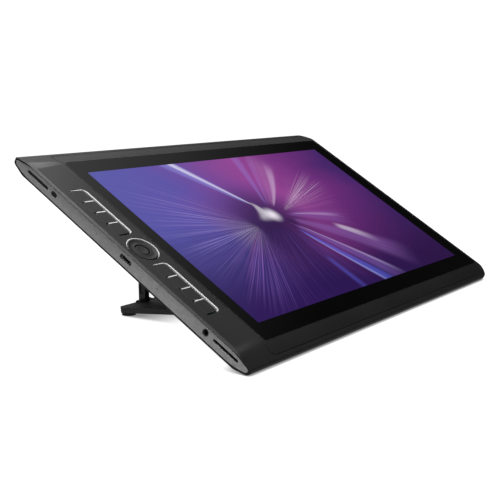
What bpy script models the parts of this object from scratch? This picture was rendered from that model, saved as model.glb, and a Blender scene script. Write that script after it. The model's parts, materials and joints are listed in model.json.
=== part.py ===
"""Pen drawing tablet: a pen display with its own computer, on a folding rear stand.

The tablet stands on the plane z = 0. +X runs along the screen's long side and +Y to the back.
All sizes below are in millimetres, and every mesh is made in metres. The pieces of the tablet are
drawn in the tablet's own axes: u to the right, v up the screen, w out of the glass, w = 0 on it.
"""

import math

import bmesh
import bpy
from mathutils import Matrix, Vector

MM = 0.001
ARC_STEP = math.radians(18)
GAP = 0.3

# Case
TILT = math.radians(30.83)
WALL = 1.8
CASE_HALF_WIDTH = 209.0
CASE_HALF_HEIGHT = 131.2
GLASS_HALF_HEIGHT = 113.6
GLASS_LEFT, GLASS_RIGHT = -173.7, 203.2
GLASS_THICK = 1.1
FRAME_LEFT, FRAME_RIGHT, FRAME_HALF_HEIGHT = -177.0, 205.0, 126.2
FRAME_THICK = 1.6
CASE_DEPTH = 20.0
PARTING_W = -6.0
NOSE_CENTRE_W = -5.354
CAVITY_HALF_WIDTH, CAVITY_HALF_HEIGHT = 205.2, 121.0

# Outlines are lists of corners: the two coordinates and the radius that rounds the corner.
SECTION_HALF = [
    (113.6, 0.0, 14.0), (131.95, -3.8, 2.0), (129.95, -8.6, 5.0), (92.0, -CASE_DEPTH, 12.0),
]
FRONT_HALF = [
    (206.5, 0.0, 0.4), (209.0, -1.1, 0.4), (209.0, -12.4, 0.8), (176.0, -CASE_DEPTH, 25.0),
]
PLAN_LEFT_RADIUS, PLAN_RIGHT_RADIUS = 2.0, 16.0
BEYOND = 300.0

# Side strips and what they carry
STRIP_HALF = [(113.5, -1.5, 14.0), (129.9, -4.85, 1.6), (127.4, -7.95, 2.0), (116.8, -11.2, 8.0)]
STRIP_DEPTH = 2.0
PORT_W = -5.4
VOLUME_V, VOLUME_LENGTH, VOLUME_HEIGHT = 101.5, 25.0, 2.7
POWER_V, POWER_LENGTH, POWER_HEIGHT = 81.6, 6.6, 3.8
WINDOW_V, MICROPHONE_V, DOT_RADIUS = 30.8, -36.5, 0.5
USB_V, USB_LENGTH, USB_HEIGHT = -2.0, 12.4, 3.8
JACK_V, JACK_RADIUS, JACK_BORE = -86.9, 2.75, 1.75
CARD_V, CARD_LENGTH, CARD_HEIGHT = -106.8, 24.4, 2.2

# Controls on the front
KEY_LEFT, KEY_RIGHT = -198.3, -185.8
KEY_PITCH = 14.1
KEYS_IN_GROUP = 4
GROUP_TOPS = {"upper": 75.8, "lower": -19.3}
KEY_TOP_W, KEY_THICK = -0.15, 1.15
DIVIDER_LEFT, DIVIDER_RIGHT, DIVIDER_THICK = -196.0, -186.7, 1.0
TRIM_RIGHT, TRIM_WIDTH = -183.3, 1.8
RING_U, RING_RADIUS, HOME_RADIUS = -190.8, 12.0, 5.3
TRIM_OUTER_RADIUS = 13.1

# Stand: T is the hinge on the tablet's back and S the hinge at the foot of the leg
HINGE_V, HINGE_W = 82.8, -24.5
FOOT_HINGE_Y_STEP, FOOT_HINGE_Z = -1.9, 6.5
ARM_U, ARM_WIDTH = 98.5, 5.5
ARM_TOP_RADIUS, ARM_FOOT_RADIUS = 3.3, 3.9
PIN_RADIUS = 1.5
LUG_THICK = 2.6
PLATE_SLOPE = math.radians(6.16)
PLATE_HALF_WIDTH, PLATE_FAR, PLATE_NEAR = 128.5, 5.0, -124.5
PLATE_TOP, PLATE_BOTTOM = 0.9, -4.0
BASE_FOOT_RADIUS = 6.0

# Rubber strip under the near edge: its centre, half length and half height across the strip
NOSE_FOOT_V, NOSE_FOOT_W = -125.2, -10.03
NOSE_FOOT_HALF_LENGTH, NOSE_FOOT_HALF_HEIGHT, NOSE_FOOT_RADIUS = 2.75, 1.0, 0.9
NOSE_FOOT_SLOPE = math.radians(-16.7)
NOSE_FOOT_U, NOSE_FOOT_LENGTH = 120.0, 100.0

SCREW_PLACES = [(-168.0, -82.0), (168.0, -82.0), (-168.0, 82.0), (168.0, 82.0)]
SCREW_HEAD_RADIUS, SCREW_SHANK_RADIUS = 3.0, 1.3
FAN_U, FAN_V, FAN_HALF_SIZE, FAN_CAVITY_RADIUS = 125.0, 38.0, 37.0, 33.0

# Openings in the back
INTAKE_RADIUS, INTAKE_SLOTS, INTAKE_PITCH, INTAKE_SLOT_HEIGHT = 24.0, 9, 5.0, 1.8
VENT_PITCH, VENT_HALF_WIDTH = 7.0, 2.2
EXHAUST_SLOTS, EXHAUST_LOW_V, EXHAUST_HIGH_V = 8, 97.0, 107.0
SOUND_SLOTS, SOUND_U, SOUND_LOW_V, SOUND_HIGH_V = 6, 140.0, -104.0, -98.0

# Display stack behind the glass: half width and half height of each layer, and its faces in w
STACK_MIDDLE_U = 11.0
DISPLAY_MODULE = (179.0, 103.0, -4.6, -1.4)
PEN_SENSOR = (177.0, 101.0, -5.7, -4.9)
INNER_FRAME = (-175.0, 202.0, 117.0, -7.3, -6.0)

BLACK_PLASTIC = ((0.022, 0.022, 0.023), 0.42, 0.0)
SATIN_METAL = ((0.105, 0.105, 0.107), 0.38, 0.6)
BRIGHT_METAL = ((0.80, 0.80, 0.80), 0.22, 1.0)
RUBBER = ((0.012, 0.012, 0.012), 0.85, 0.0)
BOARD = ((0.02, 0.09, 0.05), 0.5, 0.0)
CAST_METAL = ((0.30, 0.30, 0.31), 0.45, 0.9)
STAMPED_STEEL = ((0.25, 0.25, 0.26), 0.35, 1.0)
GLASS = ((0.008, 0.008, 0.010), 0.06, 0.0)
LIT_PANEL = ((0.05, 0.05, 0.25), 0.3, 0.0)


# ---------------------------------------------------------------- outlines

def corner_arc(before, corner, after, radius):
    """The points that round one corner with an arc."""
    to_before = (before - corner).normalized()
    to_after = (after - corner).normalized()
    half = to_before.angle(to_after) / 2
    tangent = radius / math.tan(half)
    centre = corner + (to_before + to_after).normalized() * (radius / math.sin(half))
    start = corner + to_before * tangent - centre
    end = corner + to_after * tangent - centre
    turn = start.angle_signed(end)
    steps = max(2, math.ceil(abs(turn) / ARC_STEP))
    return [centre + Matrix.Rotation(-turn * i / steps, 2) @ start for i in range(steps + 1)]


def rounded(corners):
    """The points of an outline whose corners are (x, y, radius)."""
    points = []
    places = [Vector((x, y)) for x, y, _ in corners]
    for i, (_, _, radius) in enumerate(corners):
        if radius == 0:
            points.append(places[i])
        else:
            points += corner_arc(places[i - 1], places[i], places[(i + 1) % len(places)], radius)
    return points


def mirrored(half):
    """A symmetric outline from its +x half, which runs from the top down."""
    return half + [(-x, y, radius) for x, y, radius in reversed(half)]


def drawn_in(corners, distance):
    """An outline moved inwards by a distance."""
    places = [Vector((x, y)) for x, y, _ in corners]
    area = sum(a.x * b.y - b.x * a.y for a, b in zip(places, places[1:] + places[:1]))
    quarter_turn = Matrix.Rotation(math.copysign(math.pi / 2, area), 2)
    result = []
    for i, (_, _, radius) in enumerate(corners):
        normal_before = quarter_turn @ (places[i] - places[i - 1]).normalized()
        normal_after = quarter_turn @ (places[(i + 1) % len(places)] - places[i]).normalized()
        step = (normal_before + normal_after) * (distance / (1 + normal_before.dot(normal_after)))
        place = places[i] + step
        result.append((place.x, place.y, max(radius - distance, 0.2)))
    return result


def rectangle(x0, x1, y0, y1, radius=0.0):
    """Corners of a rectangle."""
    return [(x0, y0, radius), (x1, y0, radius), (x1, y1, radius), (x0, y1, radius)]


def lozenge(x, y, length, height):
    """Corners of a slot shape, long in x, with round ends."""
    radius = height / 2 - 0.001
    return rectangle(x - length / 2, x + length / 2, y - height / 2, y + height / 2, radius)


def circle(x, y, radius, points=24):
    """Points of a circle."""
    angles = [2 * math.pi * i / points for i in range(points)]
    return [Vector((x + radius * math.cos(a), y + radius * math.sin(a))) for a in angles]


# ---------------------------------------------------------------- solids

def prism(name, outline, axis, low, high):
    """An outline extruded along x, y or z between two heights."""
    along = "xyz".index(axis)
    across = [i for i in range(3) if i != along]
    mesh = bpy.data.meshes.new(name)
    shape = bmesh.new()
    ring = []
    for point in outline:
        place = [0.0, 0.0, 0.0]
        place[across[0]], place[across[1]], place[along] = point[0] * MM, point[1] * MM, low * MM
        ring.append(shape.verts.new(place))
    face = shape.faces.new(ring)
    lifted = bmesh.ops.extrude_face_region(shape, geom=[face])
    rise = Vector((0.0, 0.0, 0.0))
    rise[along] = (high - low) * MM
    raised = [item for item in lifted["geom"] if isinstance(item, bmesh.types.BMVert)]
    bmesh.ops.translate(shape, vec=rise, verts=raised)
    bmesh.ops.recalc_face_normals(shape, faces=shape.faces)
    shape.to_mesh(mesh)
    shape.free()
    result = bpy.data.objects.new(name, mesh)
    bpy.context.scene.collection.objects.link(result)
    return result


def block(name, u0, u1, v0, v1, w0, w1):
    """A box between two corners."""
    return prism(name, rounded(rectangle(u0, u1, v0, v1)), "z", w0, w1)


def slab(name, u0, u1, v0, v1, w0, w1, radius):
    """A box whose upright edges are rounded."""
    return prism(name, rounded(rectangle(u0, u1, v0, v1, radius)), "z", w0, w1)


def combine(target, tool, operation):
    """Cuts, joins or intersects a shape with a second one, which is used up."""
    modifier = target.modifiers.new("combine", "BOOLEAN")
    modifier.operation = operation
    modifier.solver = "EXACT"
    modifier.object = tool
    bpy.context.view_layer.update()
    evaluated = target.evaluated_get(bpy.context.evaluated_depsgraph_get())
    target.data = bpy.data.meshes.new_from_object(evaluated)
    target.modifiers.clear()
    bpy.data.objects.remove(tool)
    return target


def cut(target, tool):
    return combine(target, tool, "DIFFERENCE")


def join(target, tool):
    return combine(target, tool, "UNION")


def keep_inside(target, tool):
    return combine(target, tool, "INTERSECT")


def turned(name, profile, sides=32):
    """A solid of revolution about z from a profile of (radius, height), top to bottom."""
    mesh = bpy.data.meshes.new(name)
    shape = bmesh.new()
    rows = []
    for radius, height in profile:
        rows.append([
            shape.verts.new((radius * MM * math.cos(a), radius * MM * math.sin(a), height * MM))
            for a in [2 * math.pi * i / sides for i in range(sides)]
        ])
    closed = rows + [rows[0]]
    for upper, lower in zip(closed, closed[1:]):
        for i in range(sides):
            j = (i + 1) % sides
            shape.faces.new((upper[i], upper[j], lower[j], lower[i]))
    bmesh.ops.recalc_face_normals(shape, faces=shape.faces)
    shape.to_mesh(mesh)
    shape.free()
    result = bpy.data.objects.new(name, mesh)
    bpy.context.scene.collection.objects.link(result)
    return result


def shift(target, u, v, w):
    """Moves a shape's mesh."""
    target.data.transform(Matrix.Translation(Vector((u, v, w)) * MM))
    return target


# ---------------------------------------------------------------- placing

def finish(target, look, parent, origin=(0.0, 0.0, 0.0)):
    """Gives a piece its material and shading, and hangs it on its parent at its own origin."""
    colour, roughness, metallic = look
    material = bpy.data.materials.new(target.name)
    material.use_nodes = True
    shader = material.node_tree.nodes["Principled BSDF"]
    shader.inputs["Base Color"].default_value = (*colour, 1.0)
    shader.inputs["Roughness"].default_value = roughness
    shader.inputs["Metallic"].default_value = metallic
    target.data.materials.clear()
    target.data.materials.append(material)
    target.data.shade_smooth()
    target.data.set_sharp_from_angle(angle=math.radians(25))
    place = Vector(origin) * MM
    target.data.transform(Matrix.Translation(-place))
    target.parent = parent
    target.location = place
    return target


def axis_empty(name, place, angle):
    """An empty at a place given in millimetres, turned about X."""
    empty = bpy.data.objects.new(name, None)
    empty.location = Vector(place) * MM
    empty.rotation_euler = (angle, 0.0, 0.0)
    empty.empty_display_size = 0.02
    bpy.context.scene.collection.objects.link(empty)
    return empty


def nose_foot_corners(grow):
    """Cross-section of the rubber strip under the near edge."""
    turn = Matrix.Rotation(NOSE_FOOT_SLOPE, 2)
    length = NOSE_FOOT_HALF_LENGTH + grow
    height = NOSE_FOOT_HALF_HEIGHT + grow
    corners = []
    for a, b in [(-length, -height), (length, -height), (length, height), (-length, height)]:
        place = turn @ Vector((a, b)) + Vector((NOSE_FOOT_V, NOSE_FOOT_W))
        corners.append((place.x, place.y, NOSE_FOOT_RADIUS + grow))
    return corners


def floor_depth():
    """How far the rubber strip's lowest point lies below the tablet's origin."""
    inner = NOSE_FOOT_HALF_LENGTH - NOSE_FOOT_RADIUS
    drop = NOSE_FOOT_HALF_HEIGHT - NOSE_FOOT_RADIUS
    place = Matrix.Rotation(NOSE_FOOT_SLOPE, 2) @ Vector((-inner, -drop))
    place += Vector((NOSE_FOOT_V, NOSE_FOOT_W))
    return -(place.x * math.sin(TILT) + place.y * math.cos(TILT)) + NOSE_FOOT_RADIUS


def in_room(v, w):
    """World y and z, in millimetres, of a point of the tablet."""
    y = v * math.cos(TILT) - w * math.sin(TILT) + NOSE_CENTRE_W * math.sin(TILT)
    z = v * math.sin(TILT) + w * math.cos(TILT) + floor_depth()
    return y, z


# ---------------------------------------------------------------- case

def plan_corners():
    """The case seen from the front: crisp corners on the left, round ones on the right."""
    left, right = PLAN_LEFT_RADIUS, PLAN_RIGHT_RADIUS
    width, height = CASE_HALF_WIDTH, CASE_HALF_HEIGHT
    return [
        (-width, -height, left), (width, -height, right), (width, height, right), (-width, height, left),
    ]


def case_shape(name, inset):
    """The outer shape of the whole case, drawn in by an inset."""
    section = rounded(drawn_in(mirrored(SECTION_HALF), inset))
    plan = rounded(drawn_in(plan_corners(), inset))
    front = rounded(drawn_in(mirrored(FRONT_HALF), inset))
    shape = prism(name, section, "x", -BEYOND, BEYOND)
    keep_inside(shape, prism("plan", plan, "z", -BEYOND, BEYOND))
    return keep_inside(shape, prism("front", front, "y", -BEYOND, BEYOND))


def cavity():
    """The room inside the case."""
    width, height = CAVITY_HALF_WIDTH, CAVITY_HALF_HEIGHT
    room = block("cavity", -width, width, -height, height, -BEYOND, BEYOND)
    return keep_inside(room, case_shape("inner", WALL))


def strip_recess(side):
    """The recess for one side strip."""
    outline = rounded(drawn_in(mirrored(STRIP_HALF), -GAP))
    inner = side * (CASE_HALF_WIDTH - STRIP_DEPTH - GAP)
    outer = side * (CASE_HALF_WIDTH + 2)
    return prism("strip_recess", outline, "x", min(inner, outer), max(inner, outer))


def side_tunnels(grow=0.0):
    """Tools that cut the openings on the left edge, each made larger by grow."""
    slots = [
        (VOLUME_V, VOLUME_LENGTH, VOLUME_HEIGHT),
        (POWER_V, POWER_LENGTH, POWER_HEIGHT),
        (USB_V, USB_LENGTH, USB_HEIGHT),
        (CARD_V, CARD_LENGTH, CARD_HEIGHT),
    ]
    outlines = [
        rounded(lozenge(v, PORT_W, length + grow, height + grow)) for v, length, height in slots
    ]
    outlines.append(circle(JACK_V, PORT_W, JACK_RADIUS + grow / 2))
    outer, inner = -CASE_HALF_WIDTH - 2.0, -CASE_HALF_WIDTH + 6.0
    return [prism("tunnel", outline, "x", outer, inner) for outline in outlines]


def key_group_corners(top):
    """The opening round one group of keys and its trim."""
    bottom = top - KEYS_IN_GROUP * KEY_PITCH
    left, right = KEY_LEFT - 0.4, TRIM_RIGHT + GAP
    low, high = bottom - 1.5, top + 1.5
    return [(left, low, 1.0), (right, low, 5.0), (right, high, 5.3), (left, high, 1.0)]


def make_front_bezel(tablet):
    """Front frame with the control panel on its left."""
    bezel = case_shape("front_bezel", 0.0)
    parting = PARTING_W + GAP / 2
    cut(bezel, block("below", -BEYOND, BEYOND, -BEYOND, BEYOND, -BEYOND, parting))
    cut(bezel, cavity())
    cut(bezel, prism("pocket", rounded(display_outline(GAP)), "z", -BEYOND, BEYOND))
    for side in (-1, 1):
        cut(bezel, strip_recess(side))
    for tunnel in side_tunnels(0.4):
        cut(bezel, tunnel)
    for top in GROUP_TOPS.values():
        cut(bezel, prism("keys", rounded(key_group_corners(top)), "z", -5, 5))
    cut(bezel, prism("ring", circle(RING_U, 0, TRIM_OUTER_RADIUS + GAP, 40), "z", -5, 5))
    return finish(bezel, BLACK_PLASTIC, tablet)


def display_outline(grow):
    """The display frame's outline, crisp on the left and following the case on the right."""
    left, right, height = FRAME_LEFT - grow, FRAME_RIGHT + grow, FRAME_HALF_HEIGHT + grow
    near, far = 5.0 + grow, PLAN_RIGHT_RADIUS - 4.0 + grow
    return [
        (left, -height, near), (right, -height, far), (right, height, far), (left, height, near),
    ]


def make_display_frame(tablet):
    """Thin inner frame with the two sloped strips."""
    frame = prism("display_frame", rounded(display_outline(0.0)), "z", -6, 5)
    keep_inside(frame, case_shape("outer", 0.0))
    cut(frame, case_shape("inner", FRAME_THICK))
    half = GLASS_HALF_HEIGHT + GAP
    hole = rectangle(GLASS_LEFT - GAP, GLASS_RIGHT + GAP, -half, half, 1.5)
    cut(frame, prism("hole", rounded(hole), "z", -BEYOND, BEYOND))
    return finish(frame, BLACK_PLASTIC, tablet)


def make_back_cover(tablet):
    """Back shell with vents, screw seats and grooves for the rubber strips."""
    cover = case_shape("back_cover", 0.0)
    parting = PARTING_W - GAP / 2
    cut(cover, block("above", -BEYOND, BEYOND, -BEYOND, BEYOND, parting, BEYOND))
    cut(cover, cavity())
    for side in (-1, 1):
        cut(cover, strip_recess(side))
    for tunnel in side_tunnels(0.4):
        cut(cover, tunnel)
    for u, v in SCREW_PLACES:
        seat = circle(u, v, SCREW_HEAD_RADIUS + GAP)
        cut(cover, prism("seat", seat, "z", -25, -CASE_DEPTH + 1.1))
        cut(cover, prism("bore", circle(u, v, SCREW_SHANK_RADIUS + 0.4, 16), "z", -25, -15))
    for i in range(INTAKE_SLOTS):
        step = (i - (INTAKE_SLOTS - 1) / 2) * INTAKE_PITCH
        half = math.sqrt(INTAKE_RADIUS ** 2 - step ** 2)
        slot = rounded(lozenge(FAN_U, FAN_V + step, 2 * half, INTAKE_SLOT_HEIGHT))
        cut(cover, prism("intake", slot, "z", -25, -15))
    vents = [(FAN_U, EXHAUST_SLOTS, EXHAUST_LOW_V, EXHAUST_HIGH_V)]
    vents += [(side * SOUND_U, SOUND_SLOTS, SOUND_LOW_V, SOUND_HIGH_V) for side in (-1, 1)]
    for middle, slots, low, high in vents:
        for i in range(slots):
            u = middle + (i - (slots - 1) / 2) * VENT_PITCH
            slot = rectangle(u - VENT_HALF_WIDTH, u + VENT_HALF_WIDTH, low, high, 1.1)
            cut(cover, prism("vent", rounded(slot), "z", -25, -9))
    half = NOSE_FOOT_LENGTH / 2 + GAP
    for side in (-1, 1):
        middle = side * NOSE_FOOT_U
        groove = rounded(nose_foot_corners(GAP))
        cut(cover, prism("groove", groove, "x", middle - half, middle + half))
    return finish(cover, BLACK_PLASTIC, tablet)


def make_nose_feet(tablet):
    """Two rubber strips that the near edge stands on."""
    for name, side in (("front_foot_left", -1), ("front_foot_right", 1)):
        middle, half = side * NOSE_FOOT_U, NOSE_FOOT_LENGTH / 2
        strip = prism(name, rounded(nose_foot_corners(0.0)), "x", middle - half, middle + half)
        finish(strip, RUBBER, tablet)


def make_glass_and_display(tablet):
    """Cover glass, display module, pen sensor and the cast frame behind them."""
    half = GLASS_HALF_HEIGHT
    glass = slab("cover_glass", GLASS_LEFT, GLASS_RIGHT, -half, half, -GLASS_THICK, 0, 1.2)
    finish(glass, GLASS, tablet)
    layers = [("lcd_panel", DISPLAY_MODULE, LIT_PANEL), ("digitizer_board", PEN_SENSOR, BOARD)]
    for name, (width, height, low, high), look in layers:
        left, right = STACK_MIDDLE_U - width, STACK_MIDDLE_U + width
        finish(slab(name, left, right, -height, height, low, high, 1.0), look, tablet)
    left, right, height, low, high = INNER_FRAME
    mid = slab("mid_frame", left, right, -height, height, low, high, 4.0)
    for column in range(5):
        for row in range(2):
            u = (column - 2) * 66
            v = (row - 0.5) * 90
            cut(mid, block("window", u - 18, u + 18, v - 18, v + 18, -9, -4))
    finish(mid, CAST_METAL, tablet)


def make_side_strips(tablet):
    """Satin strips in the left and right edges; the left one has the ports and buttons."""
    outline = rounded(mirrored(STRIP_HALF))
    left = prism("left_side_insert", outline, "x", -CASE_HALF_WIDTH, -CASE_HALF_WIDTH + STRIP_DEPTH)
    for tunnel in side_tunnels():
        cut(left, tunnel)
    for v in (WINDOW_V, MICROPHONE_V):
        dot = circle(v, PORT_W, DOT_RADIUS, 12)
        cut(left, prism("dot", dot, "x", -CASE_HALF_WIDTH - 1, -CASE_HALF_WIDTH + 1))
    finish(left, SATIN_METAL, tablet)
    right = prism("right_side_insert", outline, "x", CASE_HALF_WIDTH - STRIP_DEPTH, CASE_HALF_WIDTH)
    keep_inside(right, case_shape("outer", 0.0))
    finish(right, SATIN_METAL, tablet)


def make_side_buttons(tablet):
    """Volume rocker and power button."""
    outer = -CASE_HALF_WIDTH + 0.1
    inner = -CASE_HALF_WIDTH + STRIP_DEPTH + 1.0
    shape = lozenge(VOLUME_V, PORT_W, VOLUME_LENGTH - 2 * GAP, VOLUME_HEIGHT - 2 * GAP)
    rocker = prism("volume_rocker", rounded(shape), "x", outer, inner)
    low, high = PORT_W - 0.9, PORT_W + 0.9
    join(rocker, block("heel", inner - 0.5, inner + 1.2, VOLUME_V - 3, VOLUME_V + 3, low, high))
    finish(rocker, BLACK_PLASTIC, tablet, (inner, VOLUME_V, PORT_W))
    shape = lozenge(POWER_V, PORT_W, POWER_LENGTH - 2 * GAP, POWER_HEIGHT - 2 * GAP)
    button = prism("power_button", rounded(shape), "x", outer, inner)
    finish(button, BLACK_PLASTIC, tablet, (inner, POWER_V, PORT_W))


def make_ports(tablet):
    """Charging port, sound jack and card slot behind the left strip."""
    port = prism("usb_c_port", rounded(lozenge(USB_V, PORT_W, 9.6, 3.3)), "x", -207.6, -198.0)
    cut(port, prism("mouth", rounded(lozenge(USB_V, PORT_W, 8.6, 2.6)), "x", -210, -200.0))
    tongue = rectangle(USB_V - 3.3, USB_V + 3.3, PORT_W - 0.35, PORT_W + 0.35)
    join(port, prism("tongue", rounded(tongue), "x", -206.4, -199.0))
    finish(port, STAMPED_STEEL, tablet)
    jack = prism("audio_jack", circle(JACK_V, PORT_W, JACK_RADIUS - GAP), "x", -208.2, -193.0)
    cut(jack, prism("bore", circle(JACK_V, PORT_W, JACK_BORE, 20), "x", -210, -194.0))
    finish(jack, BLACK_PLASTIC, tablet)
    low, high = CARD_V - 13.5, CARD_V + 13.5
    card = block("sd_card_slot", -204.8, -176.0, low, high, PORT_W - 2.0, PORT_W + 2.0)
    low, high = CARD_V - 12.1, CARD_V + 12.1
    cut(card, block("mouth", -206, -180.0, low, high, PORT_W - 1.2, PORT_W + 1.2))
    finish(card, STAMPED_STEEL, tablet)


# ---------------------------------------------------------------- controls

def key_corners(index, top):
    """One key's outline; the group's outer right corners are round."""
    upper = top - index * KEY_PITCH - (0.0 if index == 0 else 0.8)
    lower = top - (index + 1) * KEY_PITCH + (0.0 if index == KEYS_IN_GROUP - 1 else 0.8)
    top_radius = 3.2 if index == 0 else 0.4
    bottom_radius = 3.2 if index == KEYS_IN_GROUP - 1 else 0.4
    return [
        (KEY_LEFT, lower, 0.4), (KEY_RIGHT, lower, bottom_radius),
        (KEY_RIGHT, upper, top_radius), (KEY_LEFT, upper, 0.4),
    ]


def make_keys(tablet):
    """Eight express keys in two groups."""
    number = 1
    for top in GROUP_TOPS.values():
        for index in range(KEYS_IN_GROUP):
            outline = rounded(key_corners(index, top))
            key = prism(f"express_key_{number}", outline, "z", KEY_TOP_W - KEY_THICK, KEY_TOP_W)
            bevel = key.modifiers.new("edge", "BEVEL")
            bevel.width = 0.2 * MM
            bevel.segments = 1
            bevel.limit_method = "ANGLE"
            bevel.angle_limit = math.radians(60)
            middle = top - (index + 0.5) * KEY_PITCH
            finish(key, BLACK_PLASTIC, tablet, ((KEY_LEFT + KEY_RIGHT) / 2, middle, KEY_TOP_W))
            number += 1


def trim_corners(top):
    """The bright line: over the top of a key group, down its right side and a little way back."""
    bottom = top - KEYS_IN_GROUP * KEY_PITCH
    right = TRIM_RIGHT
    inner = right - TRIM_WIDTH
    left = KEY_LEFT + 0.5
    return [
        (left, top + 0.65, 0.1), (left, top + 0.95, 0.1), (right, top + 1.2, 5.0),
        (right, bottom - 1.2, 4.6), (inner - 4.0, bottom - 1.2, 0.08),
        (inner - 4.0, bottom - 0.95, 0.08), (inner, bottom - 0.6, 3.2), (inner, top + 0.3, 3.3),
    ]


def make_key_trims(tablet):
    """Bright lines beside the keys and the comb of bright separators between them."""
    for group, top in GROUP_TOPS.items():
        trim = prism(f"key_trim_{group}", rounded(trim_corners(top)), "z", -1.6, 0.2)
        bottom = top - KEYS_IN_GROUP * KEY_PITCH
        tail = TRIM_RIGHT - TRIM_WIDTH - 1.2
        cut(trim, block("end", -BEYOND, tail, bottom - 3, bottom + 3, -3, 3))
        finish(trim, BRIGHT_METAL, tablet)
        half = DIVIDER_THICK / 2
        high, low = top - KEY_PITCH + half, top - (KEYS_IN_GROUP - 1) * KEY_PITCH - half
        spine = f"key_dividers_{group}"
        comb = block(spine, DIVIDER_RIGHT - 1, DIVIDER_RIGHT, low, high, -3.1, -2.3)
        for i in range(1, KEYS_IN_GROUP):
            v = top - i * KEY_PITCH
            tooth = rounded(rectangle(DIVIDER_LEFT, DIVIDER_RIGHT, v - half, v + half, 0.3))
            join(comb, prism("tooth", tooth, "z", -3.1, 0.15))
        finish(comb, BRIGHT_METAL, tablet)


def make_ring(tablet):
    """Touch ring, its bright crescent and the button in its middle."""
    profile = [
        (HOME_RADIUS + 0.7, -0.65), (7.4, -0.85), (9.4, -0.75), (RING_RADIUS - 0.5, -0.35),
        (RING_RADIUS, -0.55), (RING_RADIUS, -2.4), (HOME_RADIUS + 0.7, -2.4),
    ]
    finish(shift(turned("touch_ring", profile, 40), RING_U, 0, 0), BLACK_PLASTIC, tablet)
    trim = prism("ring_trim", circle(RING_U, 0, TRIM_OUTER_RADIUS, 48), "z", -1.6, 0.15)
    inner = circle(RING_U - 0.75, -0.75, TRIM_OUTER_RADIUS - 0.55, 48)
    cut(trim, prism("inner", inner, "z", -3, 2))
    cut(trim, prism("clear", circle(RING_U, 0, RING_RADIUS + GAP, 48), "z", -3, 2))
    finish(trim, BRIGHT_METAL, tablet)
    button = prism("home_button", circle(RING_U, 0, HOME_RADIUS, 32), "z", -2.4, -1.15)
    join(button, prism("cap", circle(RING_U, 0, HOME_RADIUS - 0.35, 32), "z", -2.0, -0.95))
    finish(button, BLACK_PLASTIC, tablet, (RING_U, 0, -1.0))


def make_key_board(tablet):
    """Switch board under the keys."""
    board = slab("key_board", -197.7, -179.5, -79, 79, -4.4, -3.4, 2.0)
    middle = (KEY_LEFT + KEY_RIGHT) / 2 - 2
    for top in GROUP_TOPS.values():
        for index in range(KEYS_IN_GROUP):
            v = top - (index + 0.5) * KEY_PITCH
            join(board, prism("switch", circle(middle, v, 2.0, 12), "z", -4.0, -2.3))
    finish(board, BOARD, tablet)


# ---------------------------------------------------------------- inside

def make_fan(tablet):
    """Blower with a round chamber, an intake hole and an outlet towards the far edge."""
    size = FAN_HALF_SIZE
    housing = slab("fan_housing", FAN_U - size, FAN_U + size, FAN_V - size, FAN_V + size, -17.6, -8.4, 6.0)
    cut(housing, prism("chamber", circle(FAN_U, FAN_V, FAN_CAVITY_RADIUS, 40), "z", -16.6, -9.4))
    cut(housing, prism("intake", circle(FAN_U, FAN_V, 21.0, 32), "z", -20, -15))
    cut(housing, block("outlet", FAN_U - 25, FAN_U + 25, FAN_V + 20, FAN_V + 50, -16.2, -9.8))
    finish(housing, BLACK_PLASTIC, tablet)
    blades, hub, tip, sweep = 13, 12.0, 30.0, math.radians(24)
    outline = []
    for i in range(blades):
        start = 2 * math.pi * i / blades
        blade = [(hub, start), (tip, start + sweep), (tip, start + sweep + 0.04), (hub, start + 0.12)]
        for radius, angle in blade:
            outline.append((FAN_U + radius * math.cos(angle), FAN_V + radius * math.sin(angle)))
    rotor = prism("fan_rotor", outline, "z", -16.0, -10.0)
    finish(rotor, BLACK_PLASTIC, tablet, (FAN_U, FAN_V, -13.0))


def make_electronics(tablet):
    """Main board, cooling, storage, battery cells and speakers."""
    finish(slab("mainboard", -150, 60, -10, 80, -10.1, -8.8, 2.0), BOARD, tablet)
    finish(slab("heat_spreader", -60, 0, 20, 62, -12.6, -10.5, 1.5), CAST_METAL, tablet)
    pipe = prism("heat_pipe", rounded(lozenge(41.0, -14.4, 9.0, 2.4)), "x", -55, 86)
    finish(pipe, ((0.70, 0.32, 0.16), 0.3, 1.0), tablet)
    finish(slab("storage_module", -140, -60, -8, 14, -12.8, -10.5, 0.8), BOARD, tablet)
    battery = ((0.10, 0.10, 0.11), 0.5, 0.0)
    finish(slab("battery_left", -150, -10, -88, -20, -17.5, -8.6, 3.0), battery, tablet)
    finish(slab("battery_right", -5, 135, -88, -20, -17.5, -8.6, 3.0), battery, tablet)
    finish(slab("speaker_left", -172, -108, -107, -95, -12.0, -8.3, 2.0), BLACK_PLASTIC, tablet)
    finish(slab("speaker_right", 108, 172, -107, -95, -12.0, -8.3, 2.0), BLACK_PLASTIC, tablet)


def make_screws(tablet):
    """Four low-headed screws with a hexagonal socket."""
    for number, (u, v) in enumerate(SCREW_PLACES, 1):
        screw = prism(f"case_screw_{number}", circle(u, v, SCREW_HEAD_RADIUS), "z", -19.95, -19.2)
        join(screw, prism("shank", circle(u, v, SCREW_SHANK_RADIUS, 12), "z", -19.5, -8.0))
        cut(screw, prism("socket", circle(u, v, 1.1, 6), "z", -22, -18.8))
        finish(screw, ((0.05, 0.05, 0.05), 0.35, 1.0), tablet)


# ---------------------------------------------------------------- stand

def arm_outline():
    """Side view of an arm, from the upper hinge at (0, 0) down to the foot hinge."""
    foot = -leg_length()
    top, low = ARM_TOP_RADIUS, ARM_FOOT_RADIUS
    return [
        (top, top, top - 0.1), (low, foot - low, low - 0.1),
        (-low, foot - low, low - 0.1), (-top, top, top - 0.1),
    ]


def leg_vector():
    """World (y, z) step from the upper hinge to the foot hinge."""
    _, z = in_room(HINGE_V, HINGE_W)
    return Vector((FOOT_HINGE_Y_STEP, FOOT_HINGE_Z - z))


def leg_length():
    return leg_vector().length


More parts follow.
